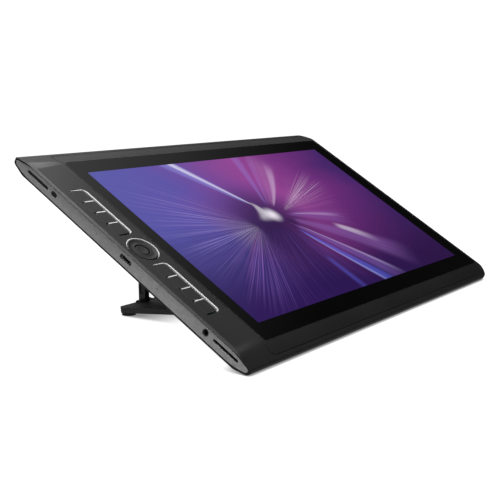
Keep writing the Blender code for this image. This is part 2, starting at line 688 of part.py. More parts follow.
def make_leg(leg):
    """Two arms and the bar that joins them."""
    for name, side in (("leg_arm_left", -1), ("leg_arm_right", 1)):
        low, high = side * ARM_U - ARM_WIDTH / 2, side * ARM_U + ARM_WIDTH / 2
        arm = prism(name, rounded(arm_outline()), "x", low, high)
        outer = low if side < 0 else high
        channel = rounded(rectangle(-1.9, 1.9, -leg_length() + 8, -9, 0.8))
        cut(arm, prism("channel", channel, "x", outer - 0.9, outer + 0.9))
        for z in (0, -leg_length()):
            cut(arm, prism("bore", circle(0, z, PIN_RADIUS + GAP, 16), "x", low - 1, high + 1))
        finish(arm, BLACK_PLASTIC, leg)
    inner = ARM_U - ARM_WIDTH / 2 - GAP
    bar = prism("leg_crossbar", rounded(rectangle(-1.6, 1.6, -30, -14, 1.0)), "x", -inner, inner)
    finish(bar, BLACK_PLASTIC, leg)


def make_stand_mount(tablet):
    """Bar on the tablet's back with two lugs for each arm, and the hinge pins in them."""
    top = -CASE_DEPTH - GAP
    reach = ARM_U + ARM_WIDTH / 2 + GAP + LUG_THICK
    bar = prism("stand_mount", rounded(rectangle(87.0, 92.0, top - 2.2, top, 0.5)), "x", -reach, reach)
    lug = [
        (79.4, top, 0.3), (79.4, -28.2, 3.2), (86.4, -28.2, 3.2), (91.5, top - 2.0, 0.5), (91.5, top, 0.3),
    ]
    for side in (-1, 1):
        for edge in (-1, 1):
            near = side * ARM_U + edge * (ARM_WIDTH / 2 + GAP)
            far = near + edge * LUG_THICK
            join(bar, prism("lug", rounded(lug), "x", min(near, far), max(near, far)))
        low, high = side * ARM_U - 8, side * ARM_U + 8
        cut(bar, prism("bore", circle(HINGE_V, HINGE_W, PIN_RADIUS + GAP, 16), "x", low, high))
    finish(bar, BLACK_PLASTIC, tablet)
    for name, side in (("leg_hinge_pin_left", -1), ("leg_hinge_pin_right", 1)):
        half = ARM_WIDTH / 2 + GAP + LUG_THICK
        round_bar = circle(HINGE_V, HINGE_W, PIN_RADIUS, 16)
        pin = prism(name, round_bar, "x", side * ARM_U - half, side * ARM_U + half)
        finish(pin, CAST_METAL, tablet)
    low, high = -CASE_DEPTH - 3.2, -CASE_DEPTH - GAP
    pad = slab("landing_pad", -60, 60, -68, -58, low, high, 2.0)
    finish(pad, RUBBER, tablet)


def make_base(base):
    """Plate that lies behind the tablet, notched for the arms, with its pins."""
    corner, half = 5.0, PLATE_HALF_WIDTH
    outline = [
        (-half, PLATE_FAR - corner, 0), (-half, PLATE_NEAR, 10), (half, PLATE_NEAR, 10),
        (half, PLATE_FAR - corner, 0), (half - corner, PLATE_FAR, 0), (-half + corner, PLATE_FAR, 0),
    ]
    plate = prism("base_plate", rounded(outline), "z", PLATE_BOTTOM, PLATE_TOP)
    notch = ARM_WIDTH / 2 + 0.4
    boss = notch + 5.0
    for side in (-1, 1):
        middle = side * ARM_U
        join(plate, prism("boss", circle(0, 0, 3.3, 20), "x", middle - boss, middle + boss))
        cut(plate, block("notch", middle - notch, middle + notch, -4.4, PLATE_FAR + 3, -8, 8))
        bore = circle(0, 0, PIN_RADIUS + GAP, 16)
        cut(plate, prism("bore", bore, "x", middle - boss - 1, middle + boss + 1))
    finish(plate, BLACK_PLASTIC, base)
    for name, side in (("foot_pin_left", -1), ("foot_pin_right", 1)):
        middle = side * ARM_U
        pin = prism(name, circle(0, 0, PIN_RADIUS, 16), "x", middle - boss, middle + boss)
        finish(pin, CAST_METAL, base)


def make_base_feet(base, hinge_y):
    """Round rubber feet under the far corners, flat on the floor and fitted to the sloping plate."""
    for name, side in (("base_foot_left", -1), ("base_foot_right", 1)):
        foot_y = hinge_y - 2.0
        foot = prism(name, circle(side * 120.5, foot_y, BASE_FOOT_RADIUS, 28), "z", 0, 1)
        for vertex in foot.data.vertices:
            if vertex.co.z > 0:
                run = vertex.co.y / MM - hinge_y
                under = PLATE_BOTTOM / math.cos(PLATE_SLOPE) - run * math.tan(PLATE_SLOPE)
                vertex.co.z = (FOOT_HINGE_Z + under - GAP) * MM
        foot.data.transform(base.matrix_basis.inverted())
        finish(foot, RUBBER, base)


def build():
    for item in list(bpy.data.objects):
        bpy.data.objects.remove(item)
    hinge_y, hinge_z = in_room(HINGE_V, HINGE_W)
    foot_y = hinge_y + FOOT_HINGE_Y_STEP
    leg_angle = math.atan2(FOOT_HINGE_Y_STEP, hinge_z - FOOT_HINGE_Z)
    tablet = axis_empty("tablet_axes", (0, NOSE_CENTRE_W * math.sin(TILT), floor_depth()), TILT)
    leg = axis_empty("leg_hinge_axis", (0, hinge_y, hinge_z), leg_angle)
    base = axis_empty("foot_hinge_axis", (0, foot_y, FOOT_HINGE_Z), -PLATE_SLOPE)
    bpy.context.view_layer.update()
    make_front_bezel(tablet)
    make_display_frame(tablet)
    make_back_cover(tablet)
    make_nose_feet(tablet)
    make_glass_and_display(tablet)
    make_side_strips(tablet)
    make_side_buttons(tablet)
    make_ports(tablet)
    make_keys(tablet)
    make_key_trims(tablet)
    make_ring(tablet)
    make_key_board(tablet)
    make_fan(tablet)
    make_electronics(tablet)
    make_screws(tablet)
    make_stand_mount(tablet)
    make_leg(leg)
    make_base(base)
    make_base_feet(base, foot_y)


build()
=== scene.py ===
"""Looks of the pen drawing tablet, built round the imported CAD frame.

Shapes are drawn in millimetres. The tablet's pieces use its own axes: u to the right, v up the
screen and w out of the glass, with w = 0 on the glass. The arms use the leg's axes and the plate
uses the base's axes. Each set of axes is placed in the row frame by one matrix.
"""

import json
import math

import bmesh
import bpy
from mathutils import Matrix, Vector


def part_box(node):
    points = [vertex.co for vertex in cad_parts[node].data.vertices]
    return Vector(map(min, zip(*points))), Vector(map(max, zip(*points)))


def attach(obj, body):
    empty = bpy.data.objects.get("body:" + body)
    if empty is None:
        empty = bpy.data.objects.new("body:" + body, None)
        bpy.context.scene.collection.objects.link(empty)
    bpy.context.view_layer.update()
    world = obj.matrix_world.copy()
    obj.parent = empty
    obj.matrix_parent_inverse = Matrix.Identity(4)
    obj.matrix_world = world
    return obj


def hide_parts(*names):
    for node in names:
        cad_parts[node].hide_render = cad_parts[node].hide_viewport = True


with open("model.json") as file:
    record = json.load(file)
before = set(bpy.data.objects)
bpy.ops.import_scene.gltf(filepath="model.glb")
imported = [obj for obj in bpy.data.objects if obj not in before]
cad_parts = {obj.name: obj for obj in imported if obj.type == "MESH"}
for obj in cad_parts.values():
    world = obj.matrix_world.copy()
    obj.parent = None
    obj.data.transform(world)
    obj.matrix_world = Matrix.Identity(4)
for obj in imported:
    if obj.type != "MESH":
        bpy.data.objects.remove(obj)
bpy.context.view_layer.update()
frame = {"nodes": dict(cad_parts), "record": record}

MM = 0.001
GAP = 0.3
FAR = 300.0
FINEST_STEP = math.radians(6)
SHORTEST_SIDE = 0.3

# Case
TILT = math.radians(30.83)
WALL = 1.8
CASE_HALF_WIDTH, CASE_HALF_HEIGHT, CASE_DEPTH = 209.0, 131.2, 20.0
GLASS_LEFT, GLASS_RIGHT, GLASS_HALF_HEIGHT, GLASS_THICK = -173.7, 203.2, 113.6, 1.1
FRAME_LEFT, FRAME_RIGHT, FRAME_HALF_HEIGHT, FRAME_THICK = -177.0, 205.0, 126.2, 1.6
PARTING_W = -6.0
CAVITY_HALF_WIDTH, CAVITY_HALF_HEIGHT = 205.2, 121.0
DISPLAY_SEAM = 0.45
SECTION_HALF = [
    (113.6, 0.0, 55.0), (131.95, -3.8, 2.0), (129.95, -8.6, 5.0), (92.0, -CASE_DEPTH, 12.0),
]
FRONT_HALF = [
    (206.5, 0.0, 0.6), (209.0, -1.1, 0.6), (209.0, -12.4, 0.8), (176.0, -CASE_DEPTH, 25.0),
]
PLAN_LEFT_RADIUS, PLAN_RIGHT_RADIUS = 2.0, 16.0

# Side strips and what they carry
STRIP_HALF = [(113.5, -1.5, 50.0), (129.9, -4.85, 1.6), (127.4, -7.95, 2.0), (116.8, -11.2, 58.0)]
STRIP_DEPTH = 2.0
PORT_W = -5.4
CROWN_RADIUS, CROWN_W = 40.0, -6.3
STRIP_CROWN_HALF = 8
VOLUME_V, VOLUME_LENGTH, VOLUME_HEIGHT = 101.5, 25.0, 2.7
POWER_V, POWER_LENGTH, POWER_HEIGHT = 81.6, 6.6, 3.8
WINDOW_V, MICROPHONE_V, DOT_RADIUS = 30.8, -36.5, 0.5
USB_V, USB_LENGTH, USB_HEIGHT = -2.0, 12.4, 3.8
JACK_V, JACK_RADIUS, JACK_BORE = -86.9, 2.75, 1.75
CARD_V, CARD_LENGTH, CARD_HEIGHT = -106.8, 24.4, 2.2

# Controls on the front
KEY_LEFT, KEY_RIGHT = -198.3, -185.8
KEY_PITCH, KEYS_IN_GROUP = 14.1, 4
GROUP_TOPS = {"upper": 75.8, "lower": -19.3}
KEY_TOP_W, KEY_THICK = -0.15, 1.15
DIVIDER_LEFT, DIVIDER_RIGHT, DIVIDER_THICK = -196.0, -186.7, 1.0
TRIM_RIGHT, TRIM_WIDTH = -183.3, 1.35
RING_U, RING_RADIUS, HOME_RADIUS, TRIM_OUTER_RADIUS = -190.8, 12.0, 5.3, 13.1

# Lit area of the screen and where its burst of light starts
PICTURE_LEFT, PICTURE_RIGHT, PICTURE_HALF_HEIGHT = -161.5, 184.1, 97.2
BURST_U, BURST_V = -8.0, 10.0

# Openings in the back, and the fan behind them
SCREW_HEAD_RADIUS, SCREW_SHANK_RADIUS = 3.0, 1.3
SCREW_PLACES = [(-168.0, -82.0), (168.0, -82.0), (-168.0, 82.0), (168.0, 82.0)]
FAN_U, FAN_V, INTAKE_RADIUS, INTAKE_SLOTS, INTAKE_PITCH = 125.0, 38.0, 24.0, 9, 5.0
VENT_PITCH, VENT_HALF_WIDTH = 7.0, 2.2

# Rubber strip under the near edge
NOSE_FOOT_V, NOSE_FOOT_W, NOSE_FOOT_SLOPE = -125.2, -10.03, math.radians(-16.7)
NOSE_FOOT_HALF_LENGTH, NOSE_FOOT_HALF_HEIGHT, NOSE_FOOT_RADIUS = 2.75, 1.0, 0.9
NOSE_FOOT_U, NOSE_FOOT_LENGTH = 120.0, 100.0

# Stand
HINGE_V, HINGE_W = 82.8, -24.5
ARM_U, ARM_WIDTH, ARM_TOP_RADIUS, ARM_FOOT_RADIUS = 98.5, 5.5, 3.3, 3.9
PIN_RADIUS, LUG_THICK = 1.5, 2.6
PLATE_SLOPE = math.radians(6.16)
PLATE_HALF_WIDTH, PLATE_FAR, PLATE_NEAR = 128.5, 5.0, -124.5
PLATE_TOP, PLATE_BOTTOM = 0.9, -4.0

# Where the three sets of axes are in the row frame
TABLET_ORIGIN = Vector((0.0, -0.002744, 0.074225))
LEG_ORIGIN = Vector((0.0, 0.080912, 0.095622))
BASE_ORIGIN = Vector((0.0, 0.079012, 0.0065))
LEG_REACH = BASE_ORIGIN - LEG_ORIGIN
LEG_LENGTH = LEG_REACH.length / MM
TABLET = Matrix.Translation(TABLET_ORIGIN) @ Matrix.Rotation(TILT, 4, "X")
LEG = Matrix.Translation(LEG_ORIGIN) @ Matrix.Rotation(math.atan2(LEG_REACH.y, -LEG_REACH.z), 4, "X")
BASE = Matrix.Translation(BASE_ORIGIN) @ Matrix.Rotation(-PLATE_SLOPE, 4, "X")

NODE_SLOT = {part["node"]: part["material_slot"] for part in frame["record"]["subparts"]}
NODE_BODY = {}
for body, members in frame["record"]["behaviour"]["bodies"].items():
    for member in members:
        NODE_BODY[member] = body


# ---------------------------------------------------------------- outlines

def corner_arc(before, corner, after, radius):
    """The points that round one corner with an arc."""
    to_before = (before - corner).normalized()
    to_after = (after - corner).normalized()
    half = to_before.angle(to_after) / 2
    tangent = radius / math.tan(half)
    centre = corner + (to_before + to_after).normalized() * (radius / math.sin(half))
    start = corner + to_before * tangent - centre
    end = corner + to_after * tangent - centre
    turn = start.angle_signed(end)
    step = max(FINEST_STEP, SHORTEST_SIDE / radius)
    steps = max(2, math.ceil(abs(turn) / step))
    return [centre + Matrix.Rotation(-turn * i / steps, 2) @ start for i in range(steps + 1)]


def rounded(corners):
    """The points of an outline whose corners are (x, y, radius)."""
    points = []
    places = [Vector((x, y)) for x, y, _ in corners]
    for i, (_, _, radius) in enumerate(corners):
        if radius == 0:
            points.append(places[i])
        else:
            points += corner_arc(places[i - 1], places[i], places[(i + 1) % len(places)], radius)
    return points


def mirrored(half):
    """A symmetric outline from its +x half, which runs from the top down."""
    return half + [(-x, y, radius) for x, y, radius in reversed(half)]


def drawn_in(corners, distance):
    """An outline moved inwards by a distance."""
    places = [Vector((x, y)) for x, y, _ in corners]
    area = sum(a.x * b.y - b.x * a.y for a, b in zip(places, places[1:] + places[:1]))
    quarter_turn = Matrix.Rotation(math.copysign(math.pi / 2, area), 2)
    result = []
    for i, (_, _, radius) in enumerate(corners):
        normal_before = quarter_turn @ (places[i] - places[i - 1]).normalized()
        normal_after = quarter_turn @ (places[(i + 1) % len(places)] - places[i]).normalized()
        step = (normal_before + normal_after) * (distance / (1 + normal_before.dot(normal_after)))
        place = places[i] + step
        result.append((place.x, place.y, max(radius - distance, 0.2)))
    return result


def rectangle(x0, x1, y0, y1, radius=0.0):
    """Corners of a rectangle."""
    return [(x0, y0, radius), (x1, y0, radius), (x1, y1, radius), (x0, y1, radius)]


def lozenge(x, y, length, height):
    """Corners of a slot shape, long in x, with round ends."""
    radius = height / 2 - 0.001
    return rectangle(x - length / 2, x + length / 2, y - height / 2, y + height / 2, radius)


def circle(x, y, radius, points=72):
    """Points of a circle."""
    angles = [2 * math.pi * i / points for i in range(points)]
    return [Vector((x + radius * math.cos(a), y + radius * math.sin(a))) for a in angles]


# ---------------------------------------------------------------- solids

def to_object(name, shape):
    """Turns a bmesh into an object of the scene."""
    bmesh.ops.recalc_face_normals(shape, faces=shape.faces)
    mesh = bpy.data.meshes.new(name)
    shape.to_mesh(mesh)
    shape.free()
    result = bpy.data.objects.new(name, mesh)
    bpy.context.scene.collection.objects.link(result)
    return result


def lofted(name, outlines, axis):
    """A solid through outlines with equal point counts, each given as (outline, height)."""
    along = "xyz".index(axis)
    across = [i for i in range(3) if i != along]
    shape = bmesh.new()
    rings = []
    for outline, height in outlines:
        ring = []
        for point in outline:
            place = [0.0, 0.0, 0.0]
            place[across[0]] = point[0] * MM
            place[across[1]] = point[1] * MM
            place[along] = height * MM
            ring.append(shape.verts.new(place))
        rings.append(ring)
    for lower, upper in zip(rings, rings[1:]):
        for i in range(len(lower)):
            j = (i + 1) % len(lower)
            shape.faces.new((lower[i], lower[j], upper[j], upper[i]))
    shape.faces.new(rings[0])
    shape.faces.new(list(reversed(rings[-1])))
    return to_object(name, shape)


def prism(name, outline, axis, low, high):
    """An outline extruded along x, y or z between two heights."""
    return lofted(name, [(outline, low), (outline, high)], axis)


def block(name, u0, u1, v0, v1, w0, w1):
    """A box between two corners."""
    return prism(name, rounded(rectangle(u0, u1, v0, v1)), "z", w0, w1)


def chamfered(name, corners, low, high, edge):
    """A prism along z whose two end faces are drawn in by a chamfer."""
    inner, outer = rounded(drawn_in(corners, edge)), rounded(corners)
    return lofted(name, [(inner, low), (outer, low + edge), (outer, high - edge), (inner, high)], "z")


def combine(target, tool, operation):
    """Cuts, joins or intersects a shape with a second one, which is used up."""
    modifier = target.modifiers.new("combine", "BOOLEAN")
    modifier.operation = operation
    modifier.solver = "EXACT"
    modifier.object = tool
    bpy.context.view_layer.update()
    evaluated = target.evaluated_get(bpy.context.evaluated_depsgraph_get())
    target.data = bpy.data.meshes.new_from_object(evaluated)
    target.modifiers.clear()
    bpy.data.objects.remove(tool)
    return target


def duplicate(original):
    """A copy of a shape with a mesh of its own."""
    result = original.copy()
    result.data = original.data.copy()
    bpy.context.scene.collection.objects.link(result)
    return result


def cut(target, tool):
    return combine(target, tool, "DIFFERENCE")


def join(target, tool):
    return combine(target, tool, "UNION")


def keep_inside(target, tool):
    return combine(target, tool, "INTERSECT")


def turned(name, profile, sides=128):
    """A solid of revolution about z from a closed profile of (radius, height)."""
    shape = bmesh.new()
    angles = [2 * math.pi * i / sides for i in range(sides)]
    rows = []
    for radius, height in profile:
        if radius == 0:
            middle = shape.verts.new((0.0, 0.0, height * MM))
            rows.append([middle] * sides)
        else:
            rows.append([
                shape.verts.new((radius * MM * math.cos(a), radius * MM * math.sin(a), height * MM))
                for a in angles
            ])
    for upper, lower in zip(rows, rows[1:] + rows[:1]):
        for i in range(sides):
            j = (i + 1) % sides
            corners = []
            for vertex in (upper[i], upper[j], lower[j], lower[i]):
                if vertex not in corners:
                    corners.append(vertex)
            if len(corners) > 2:
                shape.faces.new(corners)
    return to_object(name, shape)


def shift(target, u, v, w):
    """Moves a shape's mesh."""
    target.data.transform(Matrix.Translation(Vector((u, v, w)) * MM))
    return target


# ---------------------------------------------------------------- materials

def grey(level):
    return (level, level, level)


class Nodes:
    """Small helper that adds nodes to one material, or to a world, and links them."""

    def __init__(self, name, world=False):
        blocks = bpy.data.worlds if world else bpy.data.materials
        self.block = blocks.new(name)
        self.block.use_nodes = True
        self.tree = self.block.node_tree
        self.shader = self.tree.nodes["Background" if world else "Principled BSDF"]

    def add(self, kind, **settings):
        node = self.tree.nodes.new(kind)
        for key, value in settings.items():
            setattr(node, key, value)
        return node

    def link(self, source, target):
        self.tree.links.new(source, target)

    def feed(self, node, index, value):
        """Puts a number, a vector or another node's output into an input."""
        if isinstance(value, bpy.types.NodeSocket):
            self.link(value, node.inputs[index])
        else:
            node.inputs[index].default_value = value

    def paint(self, name, value):
        """Sets one value of the main shader."""
        self.feed(self.shader, name, value)

    def math(self, operation, a, b=0.0, c=0.0, clamp=False):
        node = self.add("ShaderNodeMath", operation=operation, use_clamp=clamp)
        for index, value in enumerate((a, b, c)):
            self.feed(node, index, value)
        return node.outputs[0]

    def times(self, a, b, clamp=False):
        return self.math("MULTIPLY", a, b, clamp=clamp)

    def place(self):
        """The tablet's own axes at rest, in metres: the piece moves and carries them along."""
        turn = self.add("ShaderNodeMapping", vector_type="TEXTURE")
        self.link(self.add("ShaderNodeTexCoord").outputs["Object"], turn.inputs["Vector"])
        turn.inputs["Location"].default_value = TABLET_ORIGIN
        turn.inputs["Rotation"].default_value = (TILT, 0.0, 0.0)
        return turn.outputs[0]

    def stretched(self, vector, scale):
        node = self.add("ShaderNodeMapping")
        self.link(vector, node.inputs["Vector"])
        self.feed(node, "Scale", scale)
        return node.outputs[0]

    def noise(self, vector, scale, detail=2.0, roughness=0.5):
        node = self.add("ShaderNodeTexNoise")
        self.link(vector, node.inputs["Vector"])
        self.feed(node, "Scale", scale)
        self.feed(node, "Detail", detail)
        self.feed(node, "Roughness", roughness)
        return node.outputs["Fac"]

    def spread(self, value, low, high, to_low=0.0, to_high=1.0, smooth=False):
        """Maps a value from one range to another, held at its ends."""
        node = self.add("ShaderNodeMapRange")
        node.interpolation_type = "SMOOTHSTEP" if smooth else "LINEAR"
        for index, number in enumerate((value, low, high, to_low, to_high)):
            self.feed(node, index, number)
        return node.outputs[0]

    def blend(self, factor, a, b, kind="MIX"):
        """Mixes two colours."""
        node = self.add("ShaderNodeMix", data_type="RGBA", blend_type=kind)
        self.feed(node, "Factor", factor)
        for index, colour in ((6, a), (7, b)):
            if isinstance(colour, tuple):
                colour = (*colour, 1.0)
            self.feed(node, index, colour)
        return node.outputs[2]

    def worn_edges(self, radius, sensitivity):
        """1 on outer edges, broken up by noise, and 0 elsewhere."""
        bevel = self.add("ShaderNodeBevel", samples=4)
        bevel.inputs["Radius"].default_value = radius * MM
        geometry = self.add("ShaderNodeNewGeometry")
        product = self.add("ShaderNodeVectorMath", operation="DOT_PRODUCT")
        self.link(bevel.outputs[0], product.inputs[0])
        self.link(geometry.outputs["Normal"], product.inputs[1])
        edge = self.spread(product.outputs["Value"], 1.0 - sensitivity, 0.999, 1.0, 0.0)
        patches = self.spread(self.noise(self.place(), 320.0, 4.0), 0.42, 0.62, 0.15, 1.0)
        return self.times(edge, patches)

    def bump(self, height, strength, distance):
        node = self.add("ShaderNodeBump")
        node.inputs["Strength"].default_value = strength
        node.inputs["Distance"].default_value = distance * MM
        self.link(height, node.inputs["Height"])
        self.link(node.outputs[0], self.shader.inputs["Normal"])


def moulded(name, colour, roughness, grain=0.35, specular=0.5):
    """Fine-textured moulded plastic: mottled colour, polished edges, spark-eroded grain."""
    nodes = Nodes(name)
    place = nodes.place()
    cloud = nodes.noise(place, 22.0, 4.0)
    fine = nodes.noise(place, 1500.0, 3.0, 0.6)
    speck = nodes.noise(place, 4200.0, 2.0)
    dark = tuple(0.86 * c for c in colour)
    light = tuple(1.14 * c for c in colour)
    base = nodes.blend(nodes.spread(cloud, 0.3, 0.7), dark, light)
    base = nodes.blend(nodes.spread(speck, 0.55, 0.75, 0.0, 0.35), base, tuple(1.5 * c for c in colour))
    edge = nodes.worn_edges(0.35, 0.35)
    worn = tuple(min(2.2 * c + 0.01, 1.0) for c in colour)
    nodes.paint("Base Color", nodes.blend(nodes.times(edge, 0.35), base, worn))
    rubbed = nodes.spread(nodes.noise(place, 9.0, 5.0), 0.35, 0.7, roughness + 0.05, roughness - 0.06)
    nodes.paint("Roughness", nodes.math("SUBTRACT", rubbed, nodes.times(edge, 0.12)))
    nodes.paint("Specular IOR Level", specular)
    nodes.bump(nodes.math("ADD", fine, nodes.times(speck, 0.5)), grain, 0.05)
    return nodes.block


def metal(name, colour, roughness, brushed=(1.0, 1.0, 1.0), metallic=1.0, grain=0.12):
    """Satin or polished metal, with brushed lines along one axis where asked for."""
    nodes = Nodes(name)
    place = nodes.place()
    lines = nodes.noise(nodes.stretched(place, brushed), 900.0, 3.0, 0.6)
    cloud = nodes.noise(place, 30.0, 4.0)
    dark = tuple(0.82 * c for c in colour)
    light = tuple(min(1.16 * c, 1.0) for c in colour)
    base = nodes.blend(nodes.spread(lines, 0.3, 0.7), dark, light)
    base = nodes.blend(nodes.spread(cloud, 0.45, 0.75, 0.0, 0.25), base, tuple(0.7 * c for c in colour))
    edge = nodes.worn_edges(0.3, 0.35)
    worn = tuple(min(1.6 * c + 0.03, 1.0) for c in colour)
    nodes.paint("Base Color", nodes.blend(nodes.times(edge, 0.7), base, worn))
    rough = nodes.spread(cloud, 0.3, 0.7, roughness - 0.04, roughness + 0.06)
    nodes.paint("Roughness", rough)
    nodes.paint("Metallic", metallic)
    nodes.bump(lines, grain, 0.03)
    return nodes.block


def rubber(name, colour):
    """Dull rubber with dust in its grain."""
    nodes = Nodes(name)
    place = nodes.place()
    dust = nodes.noise(place, 60.0, 6.0, 0.65)
    grain = nodes.noise(place, 1100.0, 4.0)
    dusty = tuple(3.0 * c + 0.01 for c in colour)
    base = nodes.blend(nodes.spread(dust, 0.5, 0.8, 0.0, 0.6), colour, dusty)
    nodes.paint("Base Color", base)
    nodes.paint("Roughness", nodes.spread(grain, 0.3, 0.7, 0.72, 0.9))
    nodes.bump(grain, 0.5, 0.08)
    return nodes.block


def circuit_board(name):
    """Solder-masked board with copper tracks under the mask and bright pads."""
    nodes = Nodes(name)
    place = nodes.place()
    tracks = nodes.add("ShaderNodeTexBrick", offset=0.35)
    nodes.link(place, tracks.inputs["Vector"])
    tracks.inputs["Scale"].default_value = 160.0
    tracks.inputs["Mortar Size"].default_value = 0.03
    pads = nodes.add("ShaderNodeTexVoronoi", distance="CHEBYCHEV")
    nodes.link(place, pads.inputs["Vector"])
    pads.inputs["Scale"].default_value = 260.0
    dots = nodes.spread(pads.outputs["Distance"], 0.1, 0.13, 1.0, 0.0)
    base = nodes.blend(tracks.outputs["Fac"], (0.015, 0.085, 0.045), (0.03, 0.14, 0.07))
    base = nodes.blend(dots, base, (0.62, 0.58, 0.5))
    nodes.paint("Base Color", base)
    nodes.paint("Roughness", nodes.spread(dots, 0.0, 1.0, 0.45, 0.25))
    nodes.bump(nodes.math("ADD", tracks.outputs["Fac"], dots), 0.3, 0.05)
    return nodes.block


def wrapped_cell(name):
    """Battery cell in a crinkled dark film."""
    nodes = Nodes(name)
    place = nodes.place()
    crease = nodes.noise(place, 90.0, 6.0, 0.7)
    base = nodes.blend(nodes.spread(crease, 0.3, 0.7), (0.06, 0.06, 0.065), (0.14, 0.14, 0.15))
    nodes.paint("Base Color", base)
    nodes.paint("Roughness", nodes.spread(crease, 0.3, 0.7, 0.3, 0.5))
    nodes.bump(crease, 0.4, 0.3)
    return nodes.block


class Picture:
    """Builds the screen's generic picture: a burst of light over a blue to purple ground."""

    def __init__(self, nodes):
        self.nodes = nodes
        split = nodes.add("ShaderNodeSeparateXYZ")
        nodes.link(nodes.place(), split.inputs[0])
        self.u = nodes.times(split.outputs[0], 1 / MM)
        self.v = nodes.times(split.outputs[1], 1 / MM)
        self.across = nodes.spread(self.u, PICTURE_LEFT, PICTURE_RIGHT)
        self.up = nodes.spread(self.v, -PICTURE_HALF_HEIGHT, PICTURE_HALF_HEIGHT)
        self.image = None

    def bump_of(self, value, middle, width, power=2.0):
        """A hill with height 1 at the middle; a higher power gives it steeper sides."""
        n = self.nodes
        offset = n.math("DIVIDE", n.math("SUBTRACT", value, middle), width)
        raised = n.math("POWER", n.math("ABSOLUTE", offset), power)
        return n.math("EXPONENT", n.times(raised, -1.0))

    def ground(self):
        """Blue on the left, magenta at the top and right of the middle, indigo below."""
        n = self.nodes
        swirl = n.noise(n.stretched(n.place(), (4.0, 7.0, 1.0)), 1.6, 3.0)
        bent = n.math("ADD", self.across, n.spread(swirl, 0.3, 0.7, -0.08, 0.08))
        ramp = n.add("ShaderNodeValToRGB")
        stops = [
            (0.0, (0.078, 0.078, 0.38)), (0.20, (0.095, 0.072, 0.38)), (0.36, (0.19, 0.055, 0.31)),
            (0.56, (0.30, 0.055, 0.29)), (0.78, (0.16, 0.026, 0.20)), (1.0, (0.060, 0.018, 0.14)),
        ]
        while len(ramp.color_ramp.elements) < len(stops):
            ramp.color_ramp.elements.new(0.5)
        for element, (position, colour) in zip(ramp.color_ramp.elements, stops):
            element.position = position
            element.color = (*colour, 1.0)
        n.link(bent, ramp.inputs[0])
        low = n.blend(self.across, (0.026, 0.008, 0.10), (0.024, 0.006, 0.06))
        height = n.math("ADD", self.up, n.spread(swirl, 0.3, 0.7, -0.1, 0.1))
        self.image = n.blend(n.spread(height, 0.02, 0.72, 0.0, 1.0, True), low, ramp.outputs[0])

    def polar(self, u, v, to_left=False):
        """Distance in millimetres and angle in degrees about a point, clear of the seam."""
        n = self.nodes
        du = n.math("SUBTRACT", self.u, u)
        if to_left:
            du = n.times(du, -1.0)
        dv = n.math("SUBTRACT", self.v, v)
        squares = n.math("ADD", n.times(du, du), n.times(dv, dv))
        angle = n.math("DEGREES", n.math("ARCTAN2", dv, du))
        return n.math("SQRT", squares), angle

    def lighten(self, amount, colour):
        self.image = self.nodes.blend(amount, self.image, colour)

    def shade(self, amount, colour=(0.012, 0.004, 0.05)):
        self.image = self.nodes.blend(amount, self.image, colour)

    def stripes(self, angle, distance, rate, sharpness, seed):
        """Fine rays: noise that depends almost only on the angle."""
        n = self.nodes
        join_up = n.add("ShaderNodeCombineXYZ")
        n.link(n.times(angle, rate), join_up.inputs[0])
        n.link(n.times(distance, 0.004), join_up.inputs[1])
        join_up.inputs[2].default_value = seed
        value = n.noise(join_up.outputs[0], 1.0, 3.0, 0.7)
        return n.spread(value, 0.5, 0.5 + sharpness)

    def fan(self, centre, to_left, middle, width, reach, rate, colour, strength, seed, inner=6.0):
        """A fan of fine rays from a centre, in degrees and millimetres."""
        n = self.nodes
        distance, angle = self.polar(*centre, to_left)
        rays = self.stripes(angle, distance, rate, 0.16, seed)
        inside = self.bump_of(angle, middle, width)
        start = n.spread(distance, inner, 3 * inner, 0.0, 1.0, True)
        fade = n.spread(distance, 0.25 * reach, reach, 1.0, 0.0, True)
        amount = n.times(n.times(rays, inside), n.times(start, fade))
        self.lighten(n.times(amount, strength, clamp=True), colour)

    def beam(self, centre, middle, width, near, far, colour, strength, seed, bend=0.0):
        """One broad streaked beam; bend turns it in degrees over its length."""
        n = self.nodes
        distance, angle = self.polar(*centre)
        along = n.spread(distance, near, far)
        turned_angle = n.math("ADD", angle, n.times(along, -bend))
        inside = self.bump_of(turned_angle, middle, width, 4.0)
        streaks = self.stripes(turned_angle, distance, 0.55, 0.45, seed)
        tone = n.spread(streaks, 0.0, 1.0, 0.45, 1.0)
        start = n.spread(distance, near, near + 12.0, 0.0, 1.0, True)
        end = n.spread(distance, 0.7 * far, far, 1.0, 0.0, True)
        amount = n.times(n.times(inside, tone), n.times(start, end))
        self.lighten(n.times(amount, strength, clamp=True), colour)

    def inside_frame(self):
        """1 on the lit area and 0 on the black border."""
        n = self.nodes
        middle = (PICTURE_LEFT + PICTURE_RIGHT) / 2
        half = (PICTURE_RIGHT - PICTURE_LEFT) / 2
        side = n.math("ABSOLUTE", n.math("SUBTRACT", self.u, middle))
        side = n.spread(side, half - 0.15, half + 0.15, 1.0, 0.0)
        upright = n.math("ABSOLUTE", self.v)
        upright = n.spread(upright, PICTURE_HALF_HEIGHT - 0.15, PICTURE_HALF_HEIGHT + 0.15, 1.0, 0.0)
        return n.times(side, upright)


